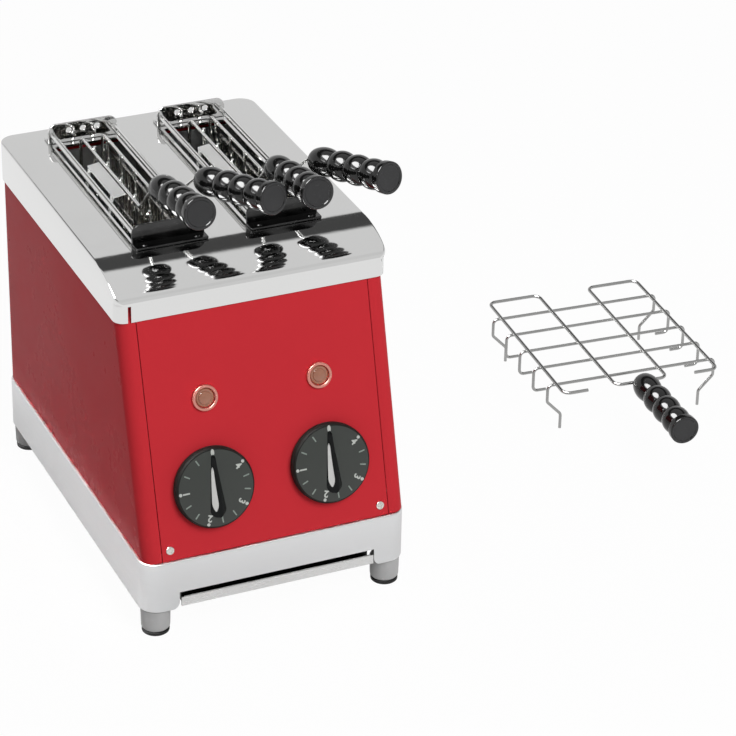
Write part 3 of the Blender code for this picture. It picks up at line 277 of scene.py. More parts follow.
# satin paint with little sheen, so that its side stays red when seen along the sheet
newFinish("redPaint", (0.57, 0.031, 0.041), 0, (7, 0.03), gloss=(12, 0.24, 0.34), relief=(1500, 0.000012),
          specular=0.015)
newFinish("zincSheet", (0.40, 0.41, 0.42), 1, (30, 0.16), gloss=(40, 0.30, 0.50), relief=(300, 0.00002))
newFinish("reflectorSteel", (0.55, 0.54, 0.52), 1, (20, 0.10), gloss=(25, 0.14, 0.30), relief=(60, 0.0001))
newFinish("glossBlack", (0.008, 0.008, 0.008), 0, (40, 0.05), gloss=(50, 0.05, 0.12), relief=(700, 0.00001),
          specular=0.46)
newFinish("capBlack", (0.015, 0.015, 0.016), 0, (90, 0.10), gloss=(60, 0.38, 0.50), relief=(1600, 0.00003))
newFinish("knobBlack", (0.029, 0.033, 0.029), 0, (50, 0.06), gloss=(50, 0.34, 0.46), relief=(1800, 0.00003))
newFinish("ridgeBlack", (0.004, 0.005, 0.005), 0, (50, 0.05), gloss=(60, 0.16, 0.28), relief=(1200, 0.00001),
          specular=0.14)
newFinish("rimBlack", (0.010, 0.011, 0.010), 0, (50, 0.06), gloss=(50, 0.45, 0.60), relief=(1800, 0.00003),
          specular=0.15)
newFinish("dialPrint", (0.50, 0.52, 0.49), 0, (300, 0.10), gloss=(200, 0.40, 0.55), relief=(2500, 0.00001))
newFinish("dimPrint", (0.24, 0.28, 0.25), 0, (300, 0.16), gloss=(200, 0.40, 0.55), relief=(2500, 0.00001))
newFinish("silverFoil", (0.60, 0.60, 0.585), 1, (80, 0.05), grain=((900, 60, 60), 0.00001, 0.28, 0.42))
newFinish("footGrey", (0.44, 0.44, 0.44), 0, (60, 0.06), gloss=(50, 0.42, 0.56), relief=(1500, 0.00004))
newFinish("padRubber", (0.003, 0.003, 0.003), 0, (60, 0.20), gloss=(60, 0.60, 0.80), relief=(1200, 0.00006))
newFinish("lampRing", (0.66, 0.27, 0.22), 0.6, (60, 0.04), gloss=(60, 0.24, 0.34), relief=(900, 0.00001))
# painted reflection: the slots' front plates get a near-black colour that stands for the dark handles they mirror
newFinish("steelPaintedDarkReflection", (0.055, 0.055, 0.055), 1, (60, 0.30), gloss=(60, 0.10, 0.24), relief=(300, 0.00006))
# the bright guide strips in the slots
newFinish("paleSteel", (0.88, 0.88, 0.87), 0, (30, 0.04), gloss=(30, 0.30, 0.45), relief=(300, 0.00003))
newFinish("quartzTube", (0.50, 0.48, 0.44), 0, (60, 0.10), gloss=(60, 0.20, 0.35), relief=(500, 0.00003))
newFinish("screwZinc", (0.74, 0.72, 0.68), 1, (200, 0.08), gloss=(200, 0.20, 0.34), relief=(1500, 0.00002))


def makeLampLens():
    # brownish resin with a paler heart, under a clear skin
    finish = newFinish("lampLens", (0.33, 0.125, 0.065), 0, (150, 0.10), gloss=(120, 0.10, 0.20),
                       relief=(900, 0.00001), coat=(0.8, 0.05))
    shader = finish.node_tree.nodes["Principled BSDF"]
    shader.inputs["Subsurface Weight"].default_value = 0.25
    shader.inputs["Subsurface Radius"].default_value = (0.004, 0.002, 0.0015)
    shader.inputs["Subsurface Scale"].default_value = 1


# where and how far the tray's colour falls behind the lip: painted shade
trayShade = {"start": 0.0002, "full": 0.0012, "tone": 0.05}


def makeTrayAlloy():
    # a clean lip; behind it the tray's colour falls to near black, painted shade for the recess seen through the gate
    finish = newFinish("trayAlloy", (0.72, 0.72, 0.715), 1, (14, 0.04), grain=((50, 900, 900), 0.00001, 0.22, 0.36))
    tree = finish.node_tree
    colourSocket = tree.nodes["Principled BSDF"].inputs["Base Color"]
    clean = colourSocket.links[0].from_socket
    place = tree.nodes.new("ShaderNodeTexCoord")
    parts = tree.nodes.new("ShaderNodeSeparateXYZ")
    tree.links.new(place.outputs["Object"], parts.inputs[0])
    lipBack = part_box("crumb_tray")[0].y + casing["sheet"]
    # painted shade: the colour drops from full just behind the lip to the given tone
    shadeLevel = spreadNode(tree, parts.outputs["Y"], lipBack + trayShade["start"], lipBack + trayShade["full"], 1,
                       trayShade["tone"])
    tree.links.new(scaledColour(tree, clean, shadeLevel), colourSocket)


makeLampLens()
makeTrayAlloy()
print("finishes made:", len(finishes))

nodeFinishes = {
    # the bottom plate gets the near-black cast finish, painted shade for the gap over the tray
    "front_panel": "redPaint", "rear_panel": "redPaint", "crumb_tray": "trayAlloy", "bottom_plate": "castInPaintedShade",
    "chamber_front_wall": "zincSheet", "chamber_rear_wall": "zincSheet", "left_timer": "zincSheet",
    "right_timer": "zincSheet",
    "left_reflector": "reflectorSteel", "right_reflector": "reflectorSteel", "middle_reflector": "reflectorSteel",
    "left_slot_heater_left": "quartzTube", "left_slot_heater_right": "quartzTube",
    "right_slot_heater_left": "quartzTube", "right_slot_heater_right": "quartzTube",
}
for nodeName, finishName in nodeFinishes.items():
    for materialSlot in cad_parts[nodeName].material_slots:
        materialSlot.material = finishes[finishName]


# ---- making pieces

mergeReach = {"spun": 0.000005, "drawn": 0.000002}


def pickOnly(item):
    bpy.ops.object.select_all(action="DESELECT")
    item.select_set(True)
    bpy.context.view_layer.objects.active = item


def turnedPiece(profile, steps):
    # one point is drawn out along the profile (radius, height) and spun round the Z axis
    bpy.ops.object.select_all(action="DESELECT")
    bpy.ops.mesh.primitive_plane_add(size=0.01)
    item = bpy.context.object
    bpy.ops.object.mode_set(mode="EDIT")
    bpy.ops.mesh.merge(type="CENTER")
    bpy.ops.transform.translate(value=(profile[0][0], 0, profile[0][1]))
    for before, after in zip(profile, profile[1:]):
        step = (after[0] - before[0], 0, after[1] - before[1])
        bpy.ops.mesh.extrude_vertices_move(TRANSFORM_OT_translate={"value": step})
    bpy.ops.mesh.select_all(action="SELECT")
    bpy.ops.mesh.spin(steps=steps, angle=math.tau, center=(0, 0, 0), axis=(0, 0, 1))
    bpy.ops.mesh.select_all(action="SELECT")
    bpy.ops.mesh.remove_doubles(threshold=mergeReach["spun"])
    bpy.ops.mesh.normals_make_consistent(inside=False)
    bpy.ops.object.mode_set(mode="OBJECT")
    return item


def curvePiece(splines, closed, dimensions, **settings):
    # a curve of straight-run splines, made a mesh
    data = bpy.data.curves.new("drawn", "CURVE")
    data.dimensions = dimensions
    for label, value in settings.items():
        setattr(data, label, value)
    for points in splines:
        spline = data.splines.new("POLY")
        spline.points.add(len(points) - 1)
        for target, point in zip(spline.points, points):
            target.co = (*point, 1) if len(point) == 3 else (*point, 0, 1)
        spline.use_cyclic_u = closed
    item = bpy.data.objects.new("drawn", data)
    bpy.context.scene.collection.objects.link(item)
    pickOnly(item)
    bpy.ops.object.convert(target="MESH")
    return bpy.context.object


def cleaned(item):
    # points that fall together become one, and faces look outward
    bpy.ops.object.mode_set(mode="EDIT")
    bpy.ops.mesh.select_all(action="SELECT")
    bpy.ops.mesh.remove_doubles(threshold=mergeReach["drawn"])
    bpy.ops.mesh.normals_make_consistent(inside=False)
    bpy.ops.object.mode_set(mode="OBJECT")
    return item


def flatPiece(outlines, thickness, edge=0):
    # flat outlines (a later one inside the first is a hole) with softened rims, its middle plane at zero
    item = curvePiece(outlines, True, "2D", fill_mode="BOTH", extrude=thickness / 2 - edge, bevel_depth=edge,
                      bevel_resolution=2, offset=-edge)
    return cleaned(item)


def wirePiece(routes, radius, roundness=3):
    return curvePiece(routes, False, "3D", bevel_depth=radius, bevel_resolution=roundness, use_fill_caps=True)


def skinPiece(rows, closedRow, closedStack=False):
    # a grid whose points are carried to the rows; closed rows meet end to end
    rows = [row + row[:1] if closedRow else row for row in rows]
    rows = rows + rows[:1] if closedStack else rows
    bpy.ops.object.select_all(action="DESELECT")
    bpy.ops.mesh.primitive_grid_add(x_subdivisions=len(rows[0]) - 1, y_subdivisions=len(rows) - 1, size=1)
    item = bpy.context.object
    for vert, point in zip(item.data.vertices, [point for row in rows for point in row]):
        vert.co = point
    return cleaned(item)


def capEnds(item):
    # closes every open rim with a face
    pickOnly(item)
    bpy.ops.object.mode_set(mode="EDIT")
    bpy.ops.mesh.select_all(action="DESELECT")
    bpy.ops.mesh.select_non_manifold(extend=False, use_wire=False, use_multi_face=False, use_non_contiguous=False,
                                     use_verts=False)
    bpy.ops.mesh.fill_holes(sides=0)
    bpy.ops.mesh.select_all(action="SELECT")
    bpy.ops.mesh.normals_make_consistent(inside=False)
    bpy.ops.object.mode_set(mode="OBJECT")
    return item


def boxPiece(low, high):
    bpy.ops.object.select_all(action="DESELECT")
    bpy.ops.mesh.primitive_cube_add(size=1)
    item = bpy.context.object
    for vert in item.data.vertices:
        vert.co = [a + (b - a) * (side + 0.5) for a, b, side in zip(low, high, vert.co)]
    return item


def moved(item, matrix):
    item.data.transform(matrix)
    return item


def applyModifier(item, kind, **settings):
    pickOnly(item)
    modifier = item.modifiers.new(kind, kind)
    for label, value in settings.items():
        setattr(modifier, label, value)
    bpy.ops.object.modifier_apply(modifier=modifier.name)
    return item


def carved(item, cutter):
    applyModifier(item, "BOOLEAN", object=cutter, operation="DIFFERENCE", solver="EXACT")
    bpy.data.objects.remove(cutter)
    return item


def softened(item, width, angle=35, segments=3):
    return applyModifier(item, "BEVEL", width=width, segments=segments, limit_method="ANGLE",
                         angle_limit=math.radians(angle),
                         harden_normals=False, use_clamp_overlap=True)


def joined(items):
    pickOnly(items[0])
    for item in items:
        item.select_set(True)
    bpy.ops.object.join()
    return bpy.context.object


def copied(item, matrix):
    twin = item.copy()
    twin.data = item.data.copy()
    bpy.context.scene.collection.objects.link(twin)
    return moved(twin, matrix)


def dressed(item, finishName):
    # one finish on the whole piece, given before pieces are joined
    item.data.materials.clear()
    item.data.materials.append(finishes[finishName])
    for face in item.data.polygons:
        face.material_index = 0
    return item


def settled(item, name, body, nodes=(), smooth=40):
    # last step for every piece: shading, name, place in its mesh and body; the CAD parts it stands for are hidden
    pickOnly(item)
    bpy.ops.object.shade_smooth_by_angle(angle=math.radians(smooth))
    item.name = name
    item.data.name = name
    item.data.transform(Matrix.Translation(toasterSpot))
    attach(item, body)
    if nodes:
        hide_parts(*nodes)
    return item


def arcPoints(centre, radius, start, end, steps):
    angles = [math.radians(start + (end - start) * step / steps) for step in range(steps + 1)]
    return [(centre[0] + radius * math.cos(angle), centre[1] + radius * math.sin(angle)) for angle in angles]


def roundedBox(low, high, radii, steps=6):
    # corner radii from the low-low corner counter-clockwise
    places = [(low[0], low[1], 1, 1, 180), (high[0], low[1], -1, 1, 270), (high[0], high[1], -1, -1, 0),
              (low[0], high[1], 1, -1, 90)]
    points = []
    for (x, y, inX, inY, start), radius in zip(places, radii):
        if radius:
            points += arcPoints((x + inX * radius, y + inY * radius), radius, start, start + 90, steps)
        else:
            points.append((x, y))
    return points


def roundedRoute(corners, radius, steps=6):
    # a wire's route with each corner turned on an arc
    corners = [Vector(corner) for corner in corners]
    points = [corners[0]]
    for before, corner, after in zip(corners, corners[1:], corners[2:]):
        back, ahead = (before - corner).normalized(), (after - corner).normalized()
        halfAngle = back.angle(ahead) / 2
        reach = min(radius / math.tan(halfAngle), (before - corner).length / 2, (after - corner).length / 2)
        start, end = corner + back * reach, corner + ahead * reach
        centre = corner + (back + ahead).normalized() * (reach / math.cos(halfAngle))
        first, last = start - centre, end - centre
        sweep = first.angle(last)
        for step in range(steps + 1):
            share = step / steps
            blend = first * math.sin((1 - share) * sweep) + last * math.sin(share * sweep)
            points.append(centre + blend / math.sin(sweep))
    points.append(corners[-1])
    return points


# ---- top cover: polished sheet, bent down all round, with a long curve at the front

cover = {"out": 0.1015, "front": 0.0445, "rear": 0.3045, "stripTop": 0.244, "curveStart": 0.092, "bend": 0.0011,
         "frontCorner": 0.008, "rearCorner": 0.0125, "curveSteps": 44, "cornerSteps": 12,
         "slotFront": 0.104, "slotRear": 0.272, "slotHalf": 0.024, "seamIn": 0.0086, "seamWidth": 0.0024}


def coverOutline(frontPlace, frontRadius, rearRadius, inset, height):
    low = (-cover["out"] + inset, frontPlace)
    high = (cover["out"] - inset, cover["rear"] - inset)
    radii = [max(frontRadius - inset, 0.0002)] * 2 + [max(rearRadius - inset, 0.0002)] * 2
    return [(x, y, height) for x, y in roundedBox(low, high, radii, cover["cornerSteps"])]


def makeTopCover():
    bend, top = cover["bend"], casing["height"]
    rows = []
    for height in (casing["skirtBottom"], (casing["skirtBottom"] + cover["stripTop"]) / 2, cover["stripTop"]):
        rows.append(coverOutline(cover["front"], cover["frontCorner"], cover["rearCorner"], 0, height))
    rise, run = top - cover["stripTop"], cover["curveStart"] - cover["front"]
    for step in range(1, cover["curveSteps"] + 1):
        angle = math.radians(90) * step / cover["curveSteps"]
        height = cover["stripTop"] + rise * math.sin(angle)
        frontPlace = cover["curveStart"] - run * math.cos(angle)
        drop = max(0, height - (top - bend)) / bend
        inset = bend * (1 - math.sqrt(max(0, 1 - drop * drop)))
        # the round upright corner fades into the side bend over the first part of the curve
        fade = max(0, 1 - (height - cover["stripTop"]) / (rise * 0.55))
        frontRadius = bend + (cover["frontCorner"] - bend) * fade * fade
        rows.append(coverOutline(frontPlace, frontRadius, cover["rearCorner"], inset, height))
    item = capEnds(skinPiece(rows, True))
    # the bottom face goes again, so that the sheet can get its thickness
    bpy.ops.object.mode_set(mode="EDIT")
    bpy.ops.mesh.select_all(action="DESELECT")
    bpy.ops.object.mode_set(mode="OBJECT")
    for face in item.data.polygons:
        face.select = face.normal.z < -0.99 and face.center.z < casing["skirtBottom"] + 0.0001
    bpy.ops.object.mode_set(mode="EDIT")
    bpy.ops.mesh.delete(type="FACE")
    bpy.ops.object.mode_set(mode="OBJECT")
    applyModifier(item, "SOLIDIFY", thickness=casing["sheet"], offset=-1, use_even_offset=False)
    for middle in slotMiddles.values():
        low = (middle - cover["slotHalf"], cover["slotFront"])
        high = (middle + cover["slotHalf"], cover["slotRear"])
        cutter = moved(flatPiece([roundedBox(low, high, [0.002] * 4, 4)], 0.02), Matrix.Translation((0, 0, top)))
        carved(item, cutter)
    # the open seam where the curved front meets the left skirt
    low = (-cover["out"] + cover["seamIn"], cover["front"] - casing["sheet"], casing["skirtBottom"] - casing["sheet"])
    high = (low[0] + cover["seamWidth"], cover["front"] + 2 * casing["sheet"], cover["stripTop"] - 0.0005)
    carved(item, boxPiece(low, high))
    settled(dressed(item, "mirrorSteel"), "cover_shell", "toaster", ["top_cover"], 25)


makeTopCover()
print("top cover made")


# ---- painted side panels, each one sheet bent round both corners

panels = {"bottom": 0.0613, "top": 0.243, "frontFlange": 0.013, "rearFlange": 0.012, "frontBend": 0.009,
          "rearBend": 0.011,
          "bendSteps": 14, "rows": 10}


def makeSidePanels():
    half, depth = casing["halfWidth"], casing["depth"]
    dip = casing["sheet"] * math.sin(lean)
    frontBend = arcPoints((half - panels["frontBend"], panels["frontBend"]), panels["frontBend"], 270, 360,
                          panels["bendSteps"])
    rearBend = arcPoints((half - panels["rearBend"], depth - panels["rearBend"]), panels["rearBend"], 0, 90,
                         panels["bendSteps"])
    rows = []
    for step in range(panels["rows"] + 1):
        height = panels["bottom"] + dip + (panels["top"] - panels["bottom"] - dip) * step / panels["rows"]
        shift = (height - casing["baseTop"]) * math.tan(lean)
        frontPoints = [(half - panels["frontFlange"], 0)] + frontBend
        row = [(x, y + shift, height) for x, y in frontPoints]
        row += [(x, y, height) for x, y in rearBend + [(half - panels["rearFlange"], depth)]]
        rows.append(row)
    item = skinPiece(rows, False)
    if sum(face.normal.x * face.area for face in item.data.polygons) < 0:
        item.data.flip_normals()
    applyModifier(item, "SOLIDIFY", thickness=casing["sheet"], offset=-1, use_even_offset=True)
    softened(item, 0.0002, 50, 2)
    twin = copied(item, Matrix.Scale(-1, 4, (1, 0, 0)))
    twin.data.flip_normals()
    settled(dressed(twin, "redPaint"), "side_sheet_left", "toaster", ["left_side_panel"])
    settled(dressed(item, "redPaint"), "side_sheet_right", "toaster", ["right_side_panel"])


makeSidePanels()
print("side panels made")


# ---- base frame: cast ring with a gate for the tray, on four feet

base = {"out": 0.1015, "front": -0.0015, "rear": 0.3045, "corner": 0.014, "edge": 0.0012, "wall": 0.004,
        "ledge": 0.003,
        "ledgeWidth": 0.014, "gateTop": 0.0350, "gateHalf": 0.075, "gateCorner": 0.0065, "bossRadius": 0.0095}
feet = {"inset": 0.0125, "stud": 0.0035, "studTop": 0.033, "radius": 0.0108, "taper": 0.0003, "top": 0.0207,
        "bottom": 0.0028,
        "round": 0.0030, "padTop": 0.0030, "padRadius": 0.0100, "padEdge": 0.0010, "hole": 0.0038}


def makeBaseFrame():
    bottom, top, edge = casing["baseBottom"], casing["baseTop"], base["edge"]
    ring = [(edge * (1 - math.cos(math.radians(a))), bottom + edge * (1 - math.sin(math.radians(a)))) for a in (90, 60,
                                                                                                                30, 0)]
    ring += [(edge * (1 - math.cos(math.radians(a))), top - edge * (1 - math.sin(math.radians(a)))) for a in (0, 30,
                                                                                                              60, 90)]
    ring += [(base["ledgeWidth"], top), (base["ledgeWidth"], top - base["ledge"]), (base["wall"], top - base["ledge"]),
             (base["wall"], bottom)]
    rows = []
    for inset, height in ring:
        low, high = (-base["out"] + inset, base["front"] + inset), (base["out"] - inset, base["rear"] - inset)
        outline = roundedBox(low, high, [max(base["corner"] - inset, 0.003)] * 4, 14)
        rows.append([(x, y, height) for x, y in outline])
    item = skinPiece(rows, True, True)
    half, corner = base["gateHalf"], base["gateCorner"]
    below = bottom - 0.005
    leftFoot = arcPoints((-half - corner, bottom + corner), corner, 270, 360, 8)
    rightFoot = arcPoints((half + corner, bottom + corner), corner, 180, 270, 8)
    outline = [(half, base["gateTop"]), (-half, base["gateTop"])] + leftFoot[::-1]
    outline += [(-half - corner, below), (half + corner, below)] + rightFoot[::-1]
    gate = moved(flatPiece([outline], base["wall"] + 0.006), standing(base["front"] + base["wall"] / 2))
    carved(item, gate)
    softened(item, 0.0004, 60, 2)
    dressed(item, "satinAlloy")
    # faces turned inwards get the near-black finish: painted shade inside the ring
    item.data.materials.append(finishes["castInPaintedShade"])
    middle = (base["front"] + base["rear"]) / 2
    for face in item.data.polygons:
        outward = face.normal.x * face.center.x + face.normal.y * (face.center.y - middle)
        if outward < -0.001:
            face.material_index = 1
    pieces = [item]
    boss = turnedPiece([(feet["hole"], top - base["ledge"]), (base["bossRadius"], top - base["ledge"]),
                        (base["bossRadius"], bottom + 0.0005), (base["bossRadius"] - 0.0005, bottom),
                        (feet["hole"], bottom),
                        (feet["hole"], top - base["ledge"])], 32)
    # the bosses inside the ring get the near-black finish: painted shade
    dressed(boss, "castInPaintedShade")
    places = footPlaces()
    for across, depth in places.values():
        pieces.append(copied(boss, Matrix.Translation((across, depth, 0))))
    bpy.data.objects.remove(boss)
    settled(joined(pieces), "base_ring", "toaster", ["base_frame"])


def footPlaces():
    across = base["out"] - feet["inset"]
    front, rear = base["front"] + feet["inset"], base["rear"] - feet["inset"]
    return {"front_left": (-across, front), "front_right": (across, front), "rear_left": (-across, rear),
            "rear_right": (across, rear)}


def makeFeet():
    edge, turn, low = 0.0008, feet["round"], feet["radius"] - feet["taper"]
    lowerEdge = [(low - turn + turn * math.cos(math.radians(a)),
                  feet["bottom"] + turn - turn * math.sin(math.radians(a)))
                 for a in range(0, 91, 15)]
    foot = turnedPiece([(0, feet["studTop"]), (feet["stud"] - 0.0004, feet["studTop"]),
                        (feet["stud"], feet["studTop"] - 0.0004),
                        (feet["stud"], feet["top"]), (feet["radius"] - edge, feet["top"]),
                        (feet["radius"], feet["top"] - edge),
                        *lowerEdge, (0, feet["bottom"])], 48)
    wide, pad = feet["padRadius"], feet["padEdge"]
    lower = [(wide - pad + pad * math.cos(math.radians(a)), pad - pad * math.sin(math.radians(a))) for a in (0, 30, 60,
                                                                                                             90)]
    upper = [(wide - 0.0005, feet["padTop"]), (wide, feet["padTop"] - 0.0005)]
    rubber = turnedPiece([(0, feet["padTop"])] + upper + lower + [(wide * 0.55, 0), (wide * 0.5, 0.0008), (0, 0.0008)],
                         48)
    for name, (across, depth) in footPlaces().items():
        spot = Matrix.Translation((across, depth, 0))
        settled(dressed(copied(foot, spot), "footGrey"), "foot_body_" + name, "toaster",
                ["foot_" + name])
        settled(dressed(copied(rubber, spot), "padRubber"), "foot_rubber_" + name, "toaster",
                ["foot_pad_" + name])
    bpy.data.objects.remove(foot)
    bpy.data.objects.remove(rubber)


makeBaseFrame()
makeFeet()
print("base and feet made")


# ---- timer knobs with their dials, pilot lamps and screws on the front

knob = {"across": 0.0442, "up": 0.0487, "radius": 0.0295, "faceRadius": 0.0284, "height": 0.0075, "back": 0.0008,
        "edge": 0.0016,
        "shaft": 0.003, "shaftDepth": 0.009, "ridgeLength": 0.046, "ridgeWidth": 0.0118, "ridgeTip": 0.0014,
        "ridgeTop": 0.0112,
        "ridgeTipUp": 0.0245, "crestShare": 0.14, "crestLean": 0.34, "foilLow": -0.0162, "foilHigh": 0.0158,
        "foilLowShares": (0.18, 0.86),
        "foilHighShares": (0.08, 0.50), "foilThickness": 0.0003, "foilSteps": 16, "printRadius": 0.0226,
        "dotRadius": 0.0266,
        "dotSize": 0.0012, "numeralSize": 0.0070, "numeralBold": 0.0002, "printThickness": 0.00012,
        "tickHalf": 0.00048,
        "tickIn": 0.0012, "tickOut": 0.0034, "zeroSize": 0.0026, "zeroNarrow": 0.5}


def teardropOutline(length, width, tipRadius, tipUp, steps):
    broad = width / 2
    top, bottom = (0, tipUp - tipRadius), (0, tipUp - length + broad)
    tilt = math.degrees(math.asin((broad - tipRadius) / (top[1] - bottom[1])))
    return arcPoints(top, tipRadius, tilt, 180 - tilt, steps) + arcPoints(bottom, broad, 180 - tilt, 360 + tilt,
                                                                          3 * steps)


def ridgeHalfWidth(up):
    # half the ridge's width at its foot, along its straight flanks
    broad = knob["ridgeWidth"] / 2
    middle = knob["ridgeTipUp"] - knob["ridgeLength"] + broad
    slope = math.asin((broad - knob["ridgeTip"]) / (knob["ridgeTipUp"] - knob["ridgeTip"] - middle))
    return (broad - (up - middle) * math.sin(slope)) / math.cos(slope)


def makeRidge():
    # low roof-shaped pointer: a wide left flank, a narrow crest right of the middle and a steep right flank
    face, rise = knob["height"], knob["ridgeTop"] - knob["height"]
    outline = teardropOutline(knob["ridgeLength"], knob["ridgeWidth"], knob["ridgeTip"], knob["ridgeTipUp"], 12)
    rows = []
    for share in (-0.1, 0, 0.15, 0.3, 0.45, 0.6, 0.75, 0.88, 0.97, 1):
        climb = max(share, 0)
        narrow = 1 - (1 - knob["crestShare"]) * climb
        if share == 1:
            narrow *= 0.8
        sideways = knob["crestLean"] * climb
        rows.append([(x * narrow + abs(x) * sideways, y * (1 - 0.03 * climb), face + rise * share) for x,
                     y in outline])
    return dressed(capEnds(skinPiece(rows, True)), "ridgeBlack")


def makeFoil():
    # silver wedge let into the left flank, broad below and narrow at the top
    face, rise = knob["height"], knob["ridgeTop"] - knob["height"]
    rows = []
    for step in range(knob["foilSteps"] + 1):
        share = step / knob["foilSteps"]
        up = knob["foilLow"] + (knob["foilHigh"] - knob["foilLow"]) * share
        half = ridgeHalfWidth(up)
        run = half * (1 - knob["crestShare"] + knob["crestLean"])
        near, far = (low + (high - low) * share for low, high in zip(knob["foilLowShares"], knob["foilHighShares"]))
        middle = (near + far) / 2
        # both ends of the wedge are rounded off
        full = math.sin(math.pi / 2 * min(1, 0.1 + share / 0.22, 0.1 + (1 - share) / 0.10))
        near, far = middle + (near - middle) * full, middle + (far - middle) * full
        out = Vector((-rise, 0, run)).normalized()
        corners = []
        for place, lift in ((near, 0.00004), (far, 0.00004), (far, knob["foilThickness"]),
                            (near, knob["foilThickness"])):
            corners.append(tuple(Vector((-half + run * place, up, face + rise * place)) + out * lift))
        rows.append(corners)
    return dressed(capEnds(skinPiece(rows, True)), "silverFoil")


def makeNumeral(text, angle):
    # a numeral whose top points away from the middle, and the dot outside it
    bpy.ops.object.select_all(action="DESELECT")
    bpy.ops.object.text_add()
    item = bpy.context.object
    item.data.body = text
    item.data.size = knob["numeralSize"]
    item.data.extrude = knob["printThickness"] / 2
    item.data.offset = knob["numeralBold"]
    item.data.align_x = "CENTER"
    item.data.align_y = "CENTER"
    bpy.ops.object.convert(target="MESH")
    item = bpy.context.object
    turn = Matrix.Rotation(math.radians(angle), 4, "Z")
    moved(item, turn @ Matrix.Translation((0, knob["printRadius"] - 0.0006, 0)))
    dot = flatPiece([arcPoints((0, knob["dotRadius"]), knob["dotSize"], 0, 350, 24)], knob["printThickness"])
    return [item, moved(dot, turn)]


def makeDialPrint():
    bright = []
    for text, angle in (("1", 90), ("2", 162), ("3", 234), ("4", 306)):
        bright += makeNumeral(text, angle)
    oval = [(x * knob["zeroNarrow"], y) for x, y in arcPoints((0, 0), knob["zeroSize"], 0, 350, 24)]
    zero = flatPiece([oval], knob["printThickness"])
    bright.append(moved(zero, Matrix.Translation((0, knob["dotRadius"] - 0.0006, 0))))
    dim = []
    for angle in (30, 60, 114, 138, 186, 210, 258, 282):
        low = (-knob["tickHalf"], knob["printRadius"] - knob["tickIn"])
        high = (knob["tickHalf"], knob["printRadius"] + knob["tickOut"])
        tick = flatPiece([roundedBox(low, high, [0.0003] * 4, 3)], knob["printThickness"])
        dim.append(moved(tick, Matrix.Rotation(math.radians(angle), 4, "Z")))
    item = joined([dressed(piece, "dialPrint") for piece in bright] + [dressed(piece, "dimPrint") for piece in dim])
    return moved(item, Matrix.Translation((0, 0, knob["height"] + knob["printThickness"] / 2 + 0.00002)))


def makeKnobs():
    face, radius, edge = knob["faceRadius"], knob["radius"], knob["edge"]
    rim = [(face - 0.0006, knob["height"]), (face, knob["height"] - 0.0002), (radius - 0.0003, knob["height"] - edge),
           (radius, knob["height"] - edge - 0.0006), (radius, knob["back"] + 0.0004), (radius - 0.0004, knob["back"])]
    skirt = turnedPiece([(0, knob["height"])] + rim + [(knob["shaft"], knob["back"]),
                                                       (knob["shaft"], -knob["shaftDepth"]),
                                                      (0, -knob["shaftDepth"])], 96)
    dressed(skirt, "knobBlack")
    skirt.data.materials.append(finishes["rimBlack"])
    for face in skirt.data.polygons:
        if face.center.z < knob["height"] - 0.00005:
            face.material_index = 1
    body = joined([skirt, makeRidge()])
    inlay = makeFoil()
    dial = makeDialPrint()
    for side, sign in sides.items():
        spot = onFront(sign * knob["across"], knob["up"])
        rider = side + "_knob"
        settled(copied(body, spot), side + "_knob_body", rider, [side + "_knob"])
        settled(copied(inlay, spot), side + "_knob_foil", rider, [side + "_knob_inlay"])
        settled(copied(dial, spot), side + "_dial_print", rider)
    for item in (body, inlay, dial):
        bpy.data.objects.remove(item)


lamp = {"across": 0.0432, "up": 0.1130, "radius": 0.0095, "inner": 0.0073, "height": 0.0026, "lensRadius": 0.0068,
        "lensHeight": 0.0021,
        "crown": 0.0008, "heart": 0.0047, "step": 0.0004, "barrel": 0.0059, "depth": 0.014}


def makeLamps():
    radius, inner, height, gap = lamp["radius"], lamp["inner"], lamp["height"], casing["gap"]
    middle, half = (radius + inner) / 2, (radius - inner) / 2
    crest = [(middle - half * math.cos(math.radians(a)),
              height - 0.0009 + 0.0009 * math.sin(math.radians(a))) for a in range(0, 181, 15)]
    ring = turnedPiece(crest + [(radius, gap), (inner, gap), crest[0]], 64)
    dressed(ring, "lampRing")
    lens, drop = lamp["lensRadius"], lamp["crown"]
    # a raised heart inside a lower, sloping shoulder
    heart, shoulder = lamp["heart"], lamp["lensHeight"] - drop
    dome = [(heart * math.sin(math.radians(a)), shoulder + drop * math.cos(math.radians(a))) for a in range(0, 91, 9)]
    dome += [(heart + 0.0002, shoulder - lamp["step"]), (lens - 0.0006, shoulder - lamp["step"] + 0.0002),
             (lens, shoulder - lamp["step"] - 0.0002)]
    glass = turnedPiece(dome + [(lens, gap), (lamp["barrel"], gap), (lamp["barrel"], -lamp["depth"]),
                                (0, -lamp["depth"])], 64)
    dressed(glass, "lampLens")
    for side, sign in sides.items():
        spot = onFront(sign * lamp["across"], lamp["up"])
        settled(copied(ring, spot), side + "_lamp_ring", "toaster", [side + "_lamp_bezel"])
        settled(copied(glass, spot), side + "_lamp_cap", "toaster", [side + "_lamp_lens"])
    bpy.data.objects.remove(ring)
    bpy.data.objects.remove(glass)


screw = {"across": 0.0805, "up": 0.0083, "radius": 0.0030, "shank": 0.0016, "head": 0.0014, "edge": 0.0012,
         "depth": 0.008,
         "crossLength": 0.0040, "crossWidth": 0.0010, "crossDepth": 0.0009}


